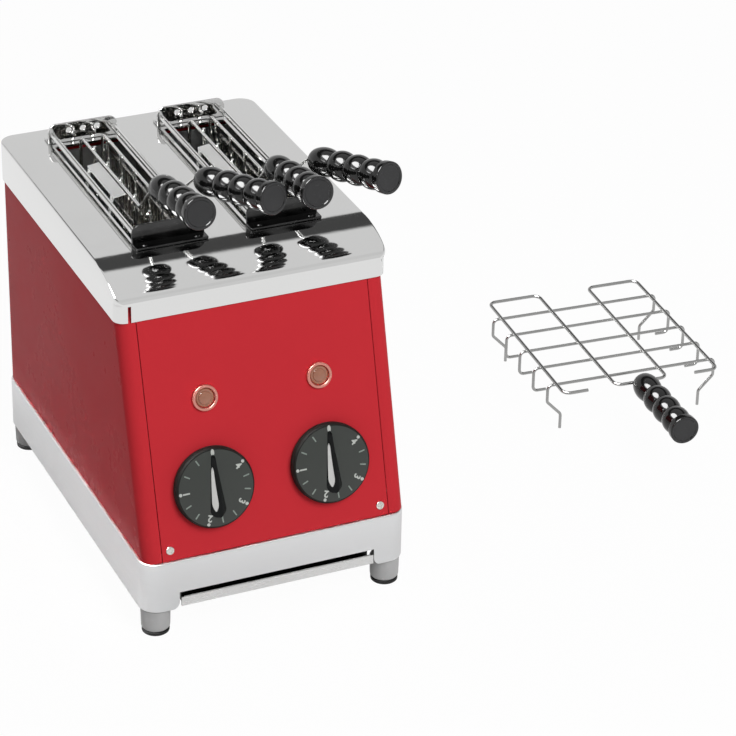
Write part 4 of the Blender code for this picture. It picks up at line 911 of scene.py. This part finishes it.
def makeScrews():
    gap, radius, head = casing["gap"], screw["radius"], screw["head"]
    dome = [(radius * math.sin(math.radians(a)), head / 2 + head / 2 * math.cos(math.radians(a))) for a in range(0, 91,
                                                                                                                 15)]
    item = turnedPiece(dome + [(radius, gap), (screw["shank"], gap), (screw["shank"], -screw["depth"]),
                               (0, -screw["depth"])], 40)
    for halfLong, halfWide in ((screw["crossLength"] / 2, screw["crossWidth"] / 2),
                               (screw["crossWidth"] / 2, screw["crossLength"] / 2)):
        carved(item, boxPiece((-halfLong, -halfWide, head - screw["crossDepth"]),
                              (halfLong, halfWide, head + screw["crossDepth"])))
    dressed(item, "screwZinc")
    for side, sign in sides.items():
        spot = onFront(sign * screw["across"], screw["up"])
        settled(copied(item, spot), "panel_screw_" + side, "toaster", ["front_screw_" + side])
    bpy.data.objects.remove(item)


makeKnobs()
makeLamps()
makeScrews()
print("knobs, lamps and screws made")


# ---- bushing for the mains lead at the back

gland = {"across": 0.060, "height": 0.085, "flange": 0.0095, "flangeDepth": 0.003, "bore": 0.0037, "tube": 0.016,
         "tip": 0.0055,
         "shoulder": 0.0076, "barrel": 0.0062}


def makeGland():
    gap = casing["gap"]
    face = gap + gland["flangeDepth"]
    profile = [(gland["bore"], gland["tube"] - 0.0006), (gland["bore"] + 0.0004, gland["tube"]),
               (gland["tip"] - 0.0005, gland["tube"]),
               (gland["tip"], gland["tube"] - 0.0006)]
    # moulded flex rings between the tip and the shoulder
    for ring in range(4):
        share = (ring + 0.5) / 4
        radius = gland["tip"] + (gland["shoulder"] - gland["tip"]) * share
        height = gland["tube"] - (gland["tube"] - face) * share
        profile += [(radius, height + 0.0006), (radius - 0.0005, height + 0.0003), (radius - 0.0005, height - 0.0003),
                    (radius, height - 0.0006)]
    profile += [(gland["shoulder"], face), (gland["flange"] - 0.0008, face), (gland["flange"], face - 0.0008),
                (gland["flange"], gap),
                (gland["barrel"], gap), (gland["barrel"], -gland["tube"] / 2), (gland["bore"], -gland["tube"] / 2),
                (gland["bore"], gland["tube"] - 0.0006)]
    spot = Matrix.Translation((gland["across"], casing["depth"], gland["height"])) @ Matrix.Rotation(math.radians(-90),
                                                                                                     4, "X")
    item = moved(turnedPiece(profile, 48), spot)
    settled(dressed(item, "glossBlack"), "lead_bushing", "toaster", ["cord_gland"])


makeGland()
print("bushing made")


# ---- wire guards in the slots

guard = {"offset": 0.0200, "rod": 0.0018, "wire": 0.0009, "pitch": 0.0070, "count": 24, "bottom": 0.096, "top": 0.2502,
         "front": 0.0975,
         "rear": 0.2807, "restRod": 0.0016, "restWire": 0.0012, "restOffset": 0.005, "restUprights": (3, 11, 19),
         "restHeight": 0.1301,
         "flapNear": 0.163, "flapFar": 0.219, "flapIn": 0.012, "flapOut": 0.003, "flapHeight": 0.2665,
         "flapRise": 0.0015, "tab": 0.004}


def makeGuards():
    first = (cover["slotFront"] + cover["slotRear"]) / 2 - guard["pitch"] * (guard["count"] - 1) / 2
    for slot, middle in slotMiddles.items():
        for side, sign in sides.items():
            across, front, rear = middle + sign * guard["offset"], guard["front"], guard["rear"]
            rods = wirePiece([[(across, front, height), (across, rear, height)] for height in (guard["top"],
                                                                                               guard["bottom"])],
                                                                                               guard["rod"], 3)
            depths = [first + index * guard["pitch"] for index in range(guard["count"])]
            uprights = wirePiece([[(across, depth, guard["bottom"]),
                                   (across, depth, guard["top"])] for depth in depths], guard["wire"], 1)
            pieces = [rods, uprights]
            if side == "left":
                rest = middle + guard["restOffset"]
                pieces.append(wirePiece([[(rest, front, guard["restHeight"]), (rest, rear, guard["restHeight"])]],
                                        guard["restRod"], 3))
                carriers = [[(across, depths[index], guard["restHeight"]), (rest, depths[index], guard["restHeight"])]
                            for index in guard["restUprights"]]
                pieces.append(wirePiece(carriers, guard["restWire"], 2))
                pieces.append(makeFlap(across))
            dressedPieces = [dressed(piece, "innerWire") for piece in pieces]
            if side == "left":
                dressed(pieces[-1], "paleSteel")
            settled(joined(dressedPieces), slot + "_guard_wires_" + side, "toaster",
                    [slot + "_slot_guard_" + side])


def makeFlap(across):
    # the bright guide strip on two tabs, bent out of one sheet
    near, far, low = guard["flapNear"], guard["flapFar"], guard["flapHeight"]
    inner, outer = across + guard["flapIn"], across + guard["flapOut"]
    sheet = casing["sheet"]
    strip = [(outer, low), (inner, low + guard["flapRise"]), (inner, low + guard["flapRise"] + sheet),
             (outer, low + sheet)]
    pieces = [moved(flatPiece([strip], far - near), standing((near + far) / 2))]
    tab = [(across - sheet / 2, guard["top"]), (across + sheet / 2, guard["top"]), (outer + sheet, low + sheet / 2),
           (outer, low + sheet / 2)]
    for depth in (near + guard["tab"], far - guard["tab"]):
        pieces.append(moved(flatPiece([tab], guard["tab"]), standing(depth)))
    return joined(pieces)


makeGuards()
print("guards made")


# ---- brackets and rails of the two slot frames

bracket = {"sheet": 0.0016, "front": 0.0975, "rear": 0.2770, "half": 0.0270, "bottom": 0.2613, "top": 0.2765,
           "corner": 0.0065,
           "foot": 0.009, "hole": 0.0021, "holeHeight": 0.2705, "spread": 0.011, "edge": 0.0003}
rail = {"radius": 0.0021, "offset": 0.0235, "height": 0.2680}


def makeBracket(depth, away, withHoles):
    sheet, half = bracket["sheet"], bracket["half"]
    outlines = [roundedBox((-half, bracket["bottom"]), (half, bracket["top"]),
                           [0, 0, bracket["corner"], bracket["corner"]], 8)]
    if withHoles:
        for step in (-1, 0, 1):
            outlines.append(arcPoints((step * bracket["spread"], bracket["holeHeight"]), bracket["hole"], 0, 345, 23))
    plate = moved(flatPiece(outlines, sheet, bracket["edge"]), standing(depth + sheet / 2))
    inner = depth + sheet / 2
    outer = inner + away * (bracket["foot"] + sheet / 2)
    low = (-half, min(inner, outer))
    high = (half, max(inner, outer))
    foot = moved(flatPiece([roundedBox(low, high, [0.001] * 4, 4)], sheet, bracket["edge"]),
                 Matrix.Translation((0, 0, bracket["bottom"] + sheet / 2)))
    rivets = []
    for sign in (-1, 1):
        dome = [(0.0022 * math.sin(math.radians(a)), 0.0008 * math.cos(math.radians(a))) for a in range(0, 91, 15)]
        spot = (sign * half * 0.72, (inner + outer) / 2 + away * sheet / 2, bracket["bottom"] + sheet)
        rivets.append(moved(turnedPiece(dome + [(0, 0)], 24), Matrix.Translation(spot)))
    return joined([plate, foot] + rivets)


def makeSlotFrames():
    for end, depth, away in (("front", bracket["front"], -1), ("rear", bracket["rear"], 1)):
        # front plates take the near-black finish, a painted reflection of the handles; rear plates stay mirror steel
        item = dressed(makeBracket(depth, away, end == "rear"), "mirrorSteel" if end == "rear" else "steelPaintedDarkReflection")
        for slot, middle in slotMiddles.items():
            settled(copied(item, Matrix.Translation((middle, 0, 0))), slot + "_end_plate_" + end, "toaster",
                    [slot + "_slot_" + end + "_bracket"])
        bpy.data.objects.remove(item)
    start, end = bracket["front"] + bracket["sheet"] + casing["gap"], bracket["rear"] - casing["gap"]
    for slot, middle in slotMiddles.items():
        for side, sign in sides.items():
            across = middle + sign * rail["offset"]
            item = dressed(wirePiece([[(across, start, rail["height"]), (across, end, rail["height"])]],
                                     rail["radius"], 6), "brightWire")
            settled(item, slot + "_side_rail_" + side, "toaster", [slot + "_slot_rail_" + side])


makeSlotFrames()
print("slot frames made")


# ---- tongs: bent wire grids with beaded handles

tong = {"wire": 0.0013, "cross": 0.0012, "layer": 0.00195, "length": 0.160, "width": 0.132, "bend": 0.006,
        "endHook": 0.020,
        "crossShares": (0.16, 0.34, 0.52, 0.70, 0.88), "innerLine": 0.022, "planes": {"left": -0.005, "right": 0.012},
        "rear": 0.268, "top": 0.268, "stemRise": 0.140, "stemFront": 0.100, "stemFlare": 0.0150, "rootHeight": 0.302,
        "yaw": 17, "tilt": 11, "grip": 0.008, "stagger": 0.009, "beyond": 0.0025, "hookUnder": 0.0028,
        "hookReach": 0.0190,
        "hookTip": 0.0075, "hookBend": 0.004, "weld": 0.0017}
handle = {"length": 0.080, "bore": 0.0016, "boreDepth": 0.010, "collarRadius": 0.0106, "collarLength": 0.0205,
          "beadRadius": 0.0111,
          "neck": 0.0081, "beads": 3, "pitch": 0.0171, "beadSteps": 20, "swell": 0.75, "capRadius": 0.0117,
          "capLength": 0.0062,
          "capEdge": 0.0010, "faceRim": 0.0016, "faceDrop": 0.0004}


def makeHandle():
    length, cap, edge = handle["length"], handle["capRadius"], handle["capEdge"]
    capStart, rim, drop = length - handle["capLength"], handle["faceRim"], handle["faceDrop"]
    # shallow dish in the end face, soft rim, then a neck, the beads and the wider collar
    profile = [(0, length - drop), (cap - edge - rim, length - drop), (cap - edge - rim + drop, length)]
    profile += [(cap - edge + edge * math.sin(math.radians(a)),
                 length - edge + edge * math.cos(math.radians(a))) for a in range(0, 91, 18)]
    profile += [(cap - edge + edge * math.cos(math.radians(a)),
                 capStart + edge - edge * math.sin(math.radians(a))) for a in range(0, 91, 18)]
    profile.append((handle["neck"], capStart))
    swells = [(0, handle["collarLength"], handle["collarRadius"])]
    for bead in range(handle["beads"]):
        swells.append((handle["collarLength"] + bead * handle["pitch"], handle["pitch"], handle["beadRadius"]))
    for start, span, widest in reversed(swells):
        for step in range(handle["beadSteps"]):
            share = 1 - step / handle["beadSteps"]
            bulge = math.sin(math.pi * share) ** handle["swell"] if step else 0
            profile.append((handle["neck"] + (widest - handle["neck"]) * bulge, start + share * span))
    profile += [(handle["neck"], 0), (handle["bore"], 0), (handle["bore"], handle["boreDepth"]),
                (0, handle["boreDepth"])]
    item = dressed(turnedPiece(profile, 64), "glossBlack")
    item.data.materials.append(finishes["capBlack"])
    for face in item.data.polygons:
        if face.normal.z > 0.9 and face.center.z > length - edge:
            face.material_index = 1
    return item


def pointing(spot, direction):
    matrix = Vector(direction).to_track_quat("Z", "Y").to_matrix().to_4x4()
    matrix.translation = spot
    return matrix


def serpentine(tail):
    # the long wire in the grid's plane: (along from the far end, across)
    side, inner, near = tong["width"] / 2, tong["innerLine"], tong["length"]
    start = [(near, -side + tong["endHook"]), (near, -side), (0, -side), (0, -inner), (near, -inner), (near, inner),
             (0, inner), (0, side)]
    return start + tail


def weldDots(spots):
    # small flattened beads of weld where wires cross
    dot = turnedPiece([(0, 0.9)] + [(math.sin(math.radians(a)), 0.9 * math.cos(math.radians(a))) for a in (40, 80, 110,
                                                                                                           150)] + [(0,
                                                                                                                     -0.9)], 8)
    pieces = [copied(dot, Matrix.Translation(spot) @ Matrix.Scale(tong["weld"], 4)) for spot in spots]
    bpy.data.objects.remove(dot)
    return joined(pieces)


def makeSlotTongHalf(slot, half, middle, handlePiece):
    sign = sides[half]
    flare = 1 if half == "right" else 0
    plane = middle + tong["planes"][half]
    middleHeight = tong["top"] - tong["width"] / 2

    def spot(along, across):
        return (plane, tong["rear"] - along, middleHeight + across)

    root = Vector((plane + flare * tong["stemFlare"], tong["stemFront"], tong["rootHeight"]))
    yaw, tilt = math.radians(tong["yaw"]), math.radians(tong["tilt"])
    direction = Vector((flare * math.sin(yaw), -math.cos(yaw if flare else 0), math.sin(tilt))).normalized()
    corners = [spot(*point) for point in serpentine([])]
    corners += [spot(tong["rear"] - tong["stemRise"], tong["width"] / 2), root - direction * tong["grip"]]
    route = roundedRoute(corners, tong["bend"], 8) + [root + direction * tong["grip"]]
    grid = wirePiece([route], tong["wire"], 4)
    layer = plane - sign * tong["layer"]
    top, bottom = middleHeight + tong["width"] / 2, middleHeight - tong["width"] / 2
    routes, welds = [], []
    for share in tong["crossShares"]:
        depth = tong["rear"] - share * tong["length"] + (tong["stagger"] if half == "right" else 0)
        if half == "right":
            corners = [(layer, depth, top + tong["beyond"]), (layer, depth, bottom - tong["beyond"])]
        else:
            hookLow, reach = bottom - tong["hookUnder"], layer + tong["hookReach"]
            corners = [(layer, depth, top + tong["beyond"]), (layer, depth, hookLow), (reach, depth, hookLow),
                       (reach, depth, hookLow + tong["hookTip"])]
        routes.append(roundedRoute(corners, tong["hookBend"], 6))
        for across in (top, middleHeight + tong["innerLine"], middleHeight - tong["innerLine"], bottom):
            welds.append(((plane + layer) / 2, depth, across))
    crossWires = wirePiece(routes, tong["cross"], 3)
    item = joined([grid, crossWires, weldDots(welds)])
    body = slot + "_tong" if half == "left" else slot + "_tong_right_half"
    name = slot + "_tong_" + half
    settled(dressed(item, "brightWire"), name + "_wires", body, [name + "_grid"])
    settled(copied(handlePiece, pointing(root, direction)), name + "_grip", body, [name + "_handle"])


loose = {"across": 0.372, "depth": 0.215, "turn": -4, "plane": 0.042, "side": 0.072, "drop": 0.020, "return": 0.011,
         "shoulderShare": 0.35, "kneeShare": 0.65, "slant": 0.012}


def makeLooseTong(handlePiece):
    spotMatrix = Matrix.Translation((loose["across"], loose["depth"],
                                     0)) @ Matrix.Rotation(math.radians(loose["turn"]), 4, "Z")
    plane, near = loose["plane"], tong["length"]

    def spot(along, across):
        return (across, near / 2 - along, plane)

    tail = [(near, tong["width"] / 2), (near, tong["width"] / 2 - tong["endHook"])]
    grid = wirePiece([roundedRoute([spot(*point) for point in serpentine(tail)], tong["bend"], 8)], tong["wire"], 4)
    layer, side = plane - tong["layer"], loose["side"]
    routes, welds = [], []
    for index, share in enumerate(tong["crossShares"]):
        depth = near / 2 - share * near
        if index in (0, len(tong["crossShares"]) - 1):
            shoulder, knee = layer - plane * loose["shoulderShare"], layer - plane * loose["kneeShare"]
            halfRoute = [(side, shoulder), (side - loose["slant"], knee), (side - loose["slant"], 0.0)]
        else:
            halfRoute = [(side, layer - loose["drop"]), (side - loose["return"], layer - loose["drop"])]
        left = [(-across, depth, height) for across, height in reversed(halfRoute)]
        right = [(across, depth, height) for across, height in halfRoute]
        routes.append(roundedRoute(left + [(-side, depth, layer), (side, depth, layer)] + right, tong["hookBend"], 6))
        for across in (-tong["width"] / 2, -tong["innerLine"], tong["innerLine"], tong["width"] / 2):
            welds.append((across, depth, (plane + layer) / 2))
    item = joined([grid, wirePiece(routes, tong["cross"], 3), weldDots(welds)])
    settled(moved(dressed(item, "dullWire"), spotMatrix), "loose_tong_wires", "loose_tong",
            ["loose_tong_grid"])
    root = Vector(spot(near, 0)) - Vector((0, tong["wire"] + casing["gap"], 0))
    direction = spotMatrix.to_3x3() @ Vector((0, -1, 0))
    settled(copied(handlePiece, pointing(spotMatrix @ root, direction)), "loose_tong_grip", "loose_tong",
            ["loose_tong_handle"])


handlePiece = makeHandle()
for slotName, slotMiddle in slotMiddles.items():
    for halfName in ("left", "right"):
        makeSlotTongHalf(slotName, halfName, slotMiddle, handlePiece)
makeLooseTong(handlePiece)
bpy.data.objects.remove(handlePiece)
print("tongs made")


# ---- floor, light and surroundings

stageSettings = {"floorSize": 8.0, "floorGlow": 0.97, "sheenNear": 0.48, "sheenFar": 0.96, "nearReach": 0.15,
                 "farReach": 0.36, "floorTone": 0.88,
                 "ambient": 0.26, "skyLow": 0.79, "gap": 0.07, "overhead": 0.80, "fillLevel": 0.74,
                 "fillAim": (0.361, -0.72, 0.60),
                 "fillInner": 0.95, "fillOuter": 0.90, "windowAim": (-0.591, -0.050, 0.804), "windowInner": 0.91,
                 "windowOuter": 0.87,
                 "windowGlow": 29}
lamps = {
    "key": {"spot": (0.45, -1.75, 1.75), "aim": (0.0, 0.10, 0.12), "size": 1.3, "power": 38, "glossy": False},
}


def makeFloor():
    bpy.ops.object.select_all(action="DESELECT")
    bpy.ops.mesh.primitive_plane_add(size=stageSettings["floorSize"])
    floor = bpy.context.object
    floor.name = "floor"
    finish = bpy.data.materials.new("floorWhite")
    finish.use_nodes = True
    tree = finish.node_tree
    tree.nodes.clear()
    result = tree.nodes.new("ShaderNodeOutputMaterial")
    matt = tree.nodes.new("ShaderNodeBsdfDiffuse")
    matt.inputs["Color"].default_value = (*[stageSettings["floorTone"]] * 3, 1)
    glow = tree.nodes.new("ShaderNodeEmission")
    path = tree.nodes.new("ShaderNodeLightPath")
    seen = mathNode(tree, "MAXIMUM", path.outputs["Is Camera Ray"], path.outputs["Is Transmission Ray"])
    # polished sides see the floor dimmer close to the toaster
    place = tree.nodes.new("ShaderNodeTexCoord")
    away = tree.nodes.new("ShaderNodeVectorMath")
    away.operation = "DISTANCE"
    away.inputs[1].default_value = toasterSpot + Vector((0, casing["depth"] / 2, 0))
    tree.links.new(place.outputs["Object"], away.inputs[0])
    sheen = spreadNode(tree, away.outputs["Value"], stageSettings["nearReach"], stageSettings["farReach"],
                       stageSettings["sheenNear"], stageSettings["sheenFar"])
    mirrored = mathNode(tree, "MULTIPLY", path.outputs["Is Glossy Ray"], sheen)
    share = mathNode(tree, "MAXIMUM", mathNode(tree, "MULTIPLY", seen, stageSettings["floorGlow"]), mirrored)
    blend = tree.nodes.new("ShaderNodeMixShader")
    tree.links.new(share, blend.inputs[0])
    tree.links.new(matt.outputs[0], blend.inputs[1])
    tree.links.new(glow.outputs[0], blend.inputs[2])
    tree.links.new(blend.outputs[0], result.inputs["Surface"])
    floor.data.materials.append(finish)


def patchOfSky(tree, place, aim, outer, inner, low, high):
    # a value that rises from low to high round one direction
    facing = tree.nodes.new("ShaderNodeVectorMath")
    facing.operation = "DOT_PRODUCT"
    facing.inputs[1].default_value = Vector(aim).normalized()
    tree.links.new(place.outputs["Generated"], facing.inputs[0])
    return spreadNode(tree, facing.outputs["Value"], outer, inner, low, high)


def makeSurroundings():
    # white to the camera; to polished metal a pale wall, a dark gap over it and a soft ceiling
    world = bpy.data.worlds.new("studio")
    bpy.context.scene.world = world
    world.use_nodes = True
    tree = world.node_tree
    tree.nodes.clear()
    result = tree.nodes.new("ShaderNodeOutputWorld")
    place = tree.nodes.new("ShaderNodeTexCoord")
    parts = tree.nodes.new("ShaderNodeSeparateXYZ")
    tree.links.new(place.outputs["Generated"], parts.inputs[0])
    ramp = tree.nodes.new("ShaderNodeValToRGB")
    tree.links.new(parts.outputs["Z"], ramp.inputs["Fac"])
    stops = [(0.0, stageSettings["skyLow"]), (0.475, stageSettings["skyLow"]), (0.49, stageSettings["gap"]),
             (0.70, stageSettings["gap"]),
             (0.74, stageSettings["overhead"]), (1.0, stageSettings["overhead"])]
    while len(ramp.color_ramp.elements) < len(stops):
        ramp.color_ramp.elements.new(0.5)
    for element, (spot, level) in zip(ramp.color_ramp.elements, stops):
        element.position = spot
        element.color = (level, level, level, 1)
    path = tree.nodes.new("ShaderNodeLightPath")
    lights = []
    for strength in (stageSettings["ambient"], 1, 1):
        light = tree.nodes.new("ShaderNodeBackground")
        light.inputs["Strength"].default_value = strength
        lights.append(light)
    # a pale fill in front closes the gap where the foot of the cover's curve looks
    fill = patchOfSky(tree, place, stageSettings["fillAim"], stageSettings["fillOuter"], stageSettings["fillInner"], 0,
                      stageSettings["fillLevel"])
    tree.links.new(mathNode(tree, "MAXIMUM", ramp.outputs["Color"], fill), lights[1].inputs["Color"])
    # a bright window high on the left, seen only by mirrors and gloss
    window = patchOfSky(tree, place, stageSettings["windowAim"], stageSettings["windowOuter"],
                        stageSettings["windowInner"], 1,
                        stageSettings["windowGlow"])
    tree.links.new(window, lights[1].inputs["Strength"])
    for light in (lights[0], lights[2]):
        light.inputs["Color"].default_value = (1, 1, 1, 1)
    toMetal = tree.nodes.new("ShaderNodeMixShader")
    tree.links.new(path.outputs["Is Glossy Ray"], toMetal.inputs[0])
    tree.links.new(lights[0].outputs[0], toMetal.inputs[1])
    tree.links.new(lights[1].outputs[0], toMetal.inputs[2])
    toCamera = tree.nodes.new("ShaderNodeMixShader")
    seen = mathNode(tree, "MAXIMUM", path.outputs["Is Camera Ray"], path.outputs["Is Transmission Ray"])
    tree.links.new(seen, toCamera.inputs[0])
    tree.links.new(toMetal.outputs[0], toCamera.inputs[1])
    tree.links.new(lights[2].outputs[0], toCamera.inputs[2])
    tree.links.new(toCamera.outputs[0], result.inputs["Surface"])


def makeLights():
    for name, settings in lamps.items():
        data = bpy.data.lights.new(name, "AREA")
        data.shape = "SQUARE"
        data.size = settings["size"]
        data.energy = settings["power"]
        item = bpy.data.objects.new(name, data)
        spot = toasterSpot + Vector(settings["spot"])
        aim = toasterSpot + Vector(settings["aim"])
        item.matrix_world = pointing(spot, spot - aim)
        item.visible_glossy = settings["glossy"]
        item.visible_camera = False
        bpy.context.scene.collection.objects.link(item)


makeFloor()
makeSurroundings()
makeLights()
bpy.context.scene.view_settings.view_transform = "Standard"
print("floor and light set")
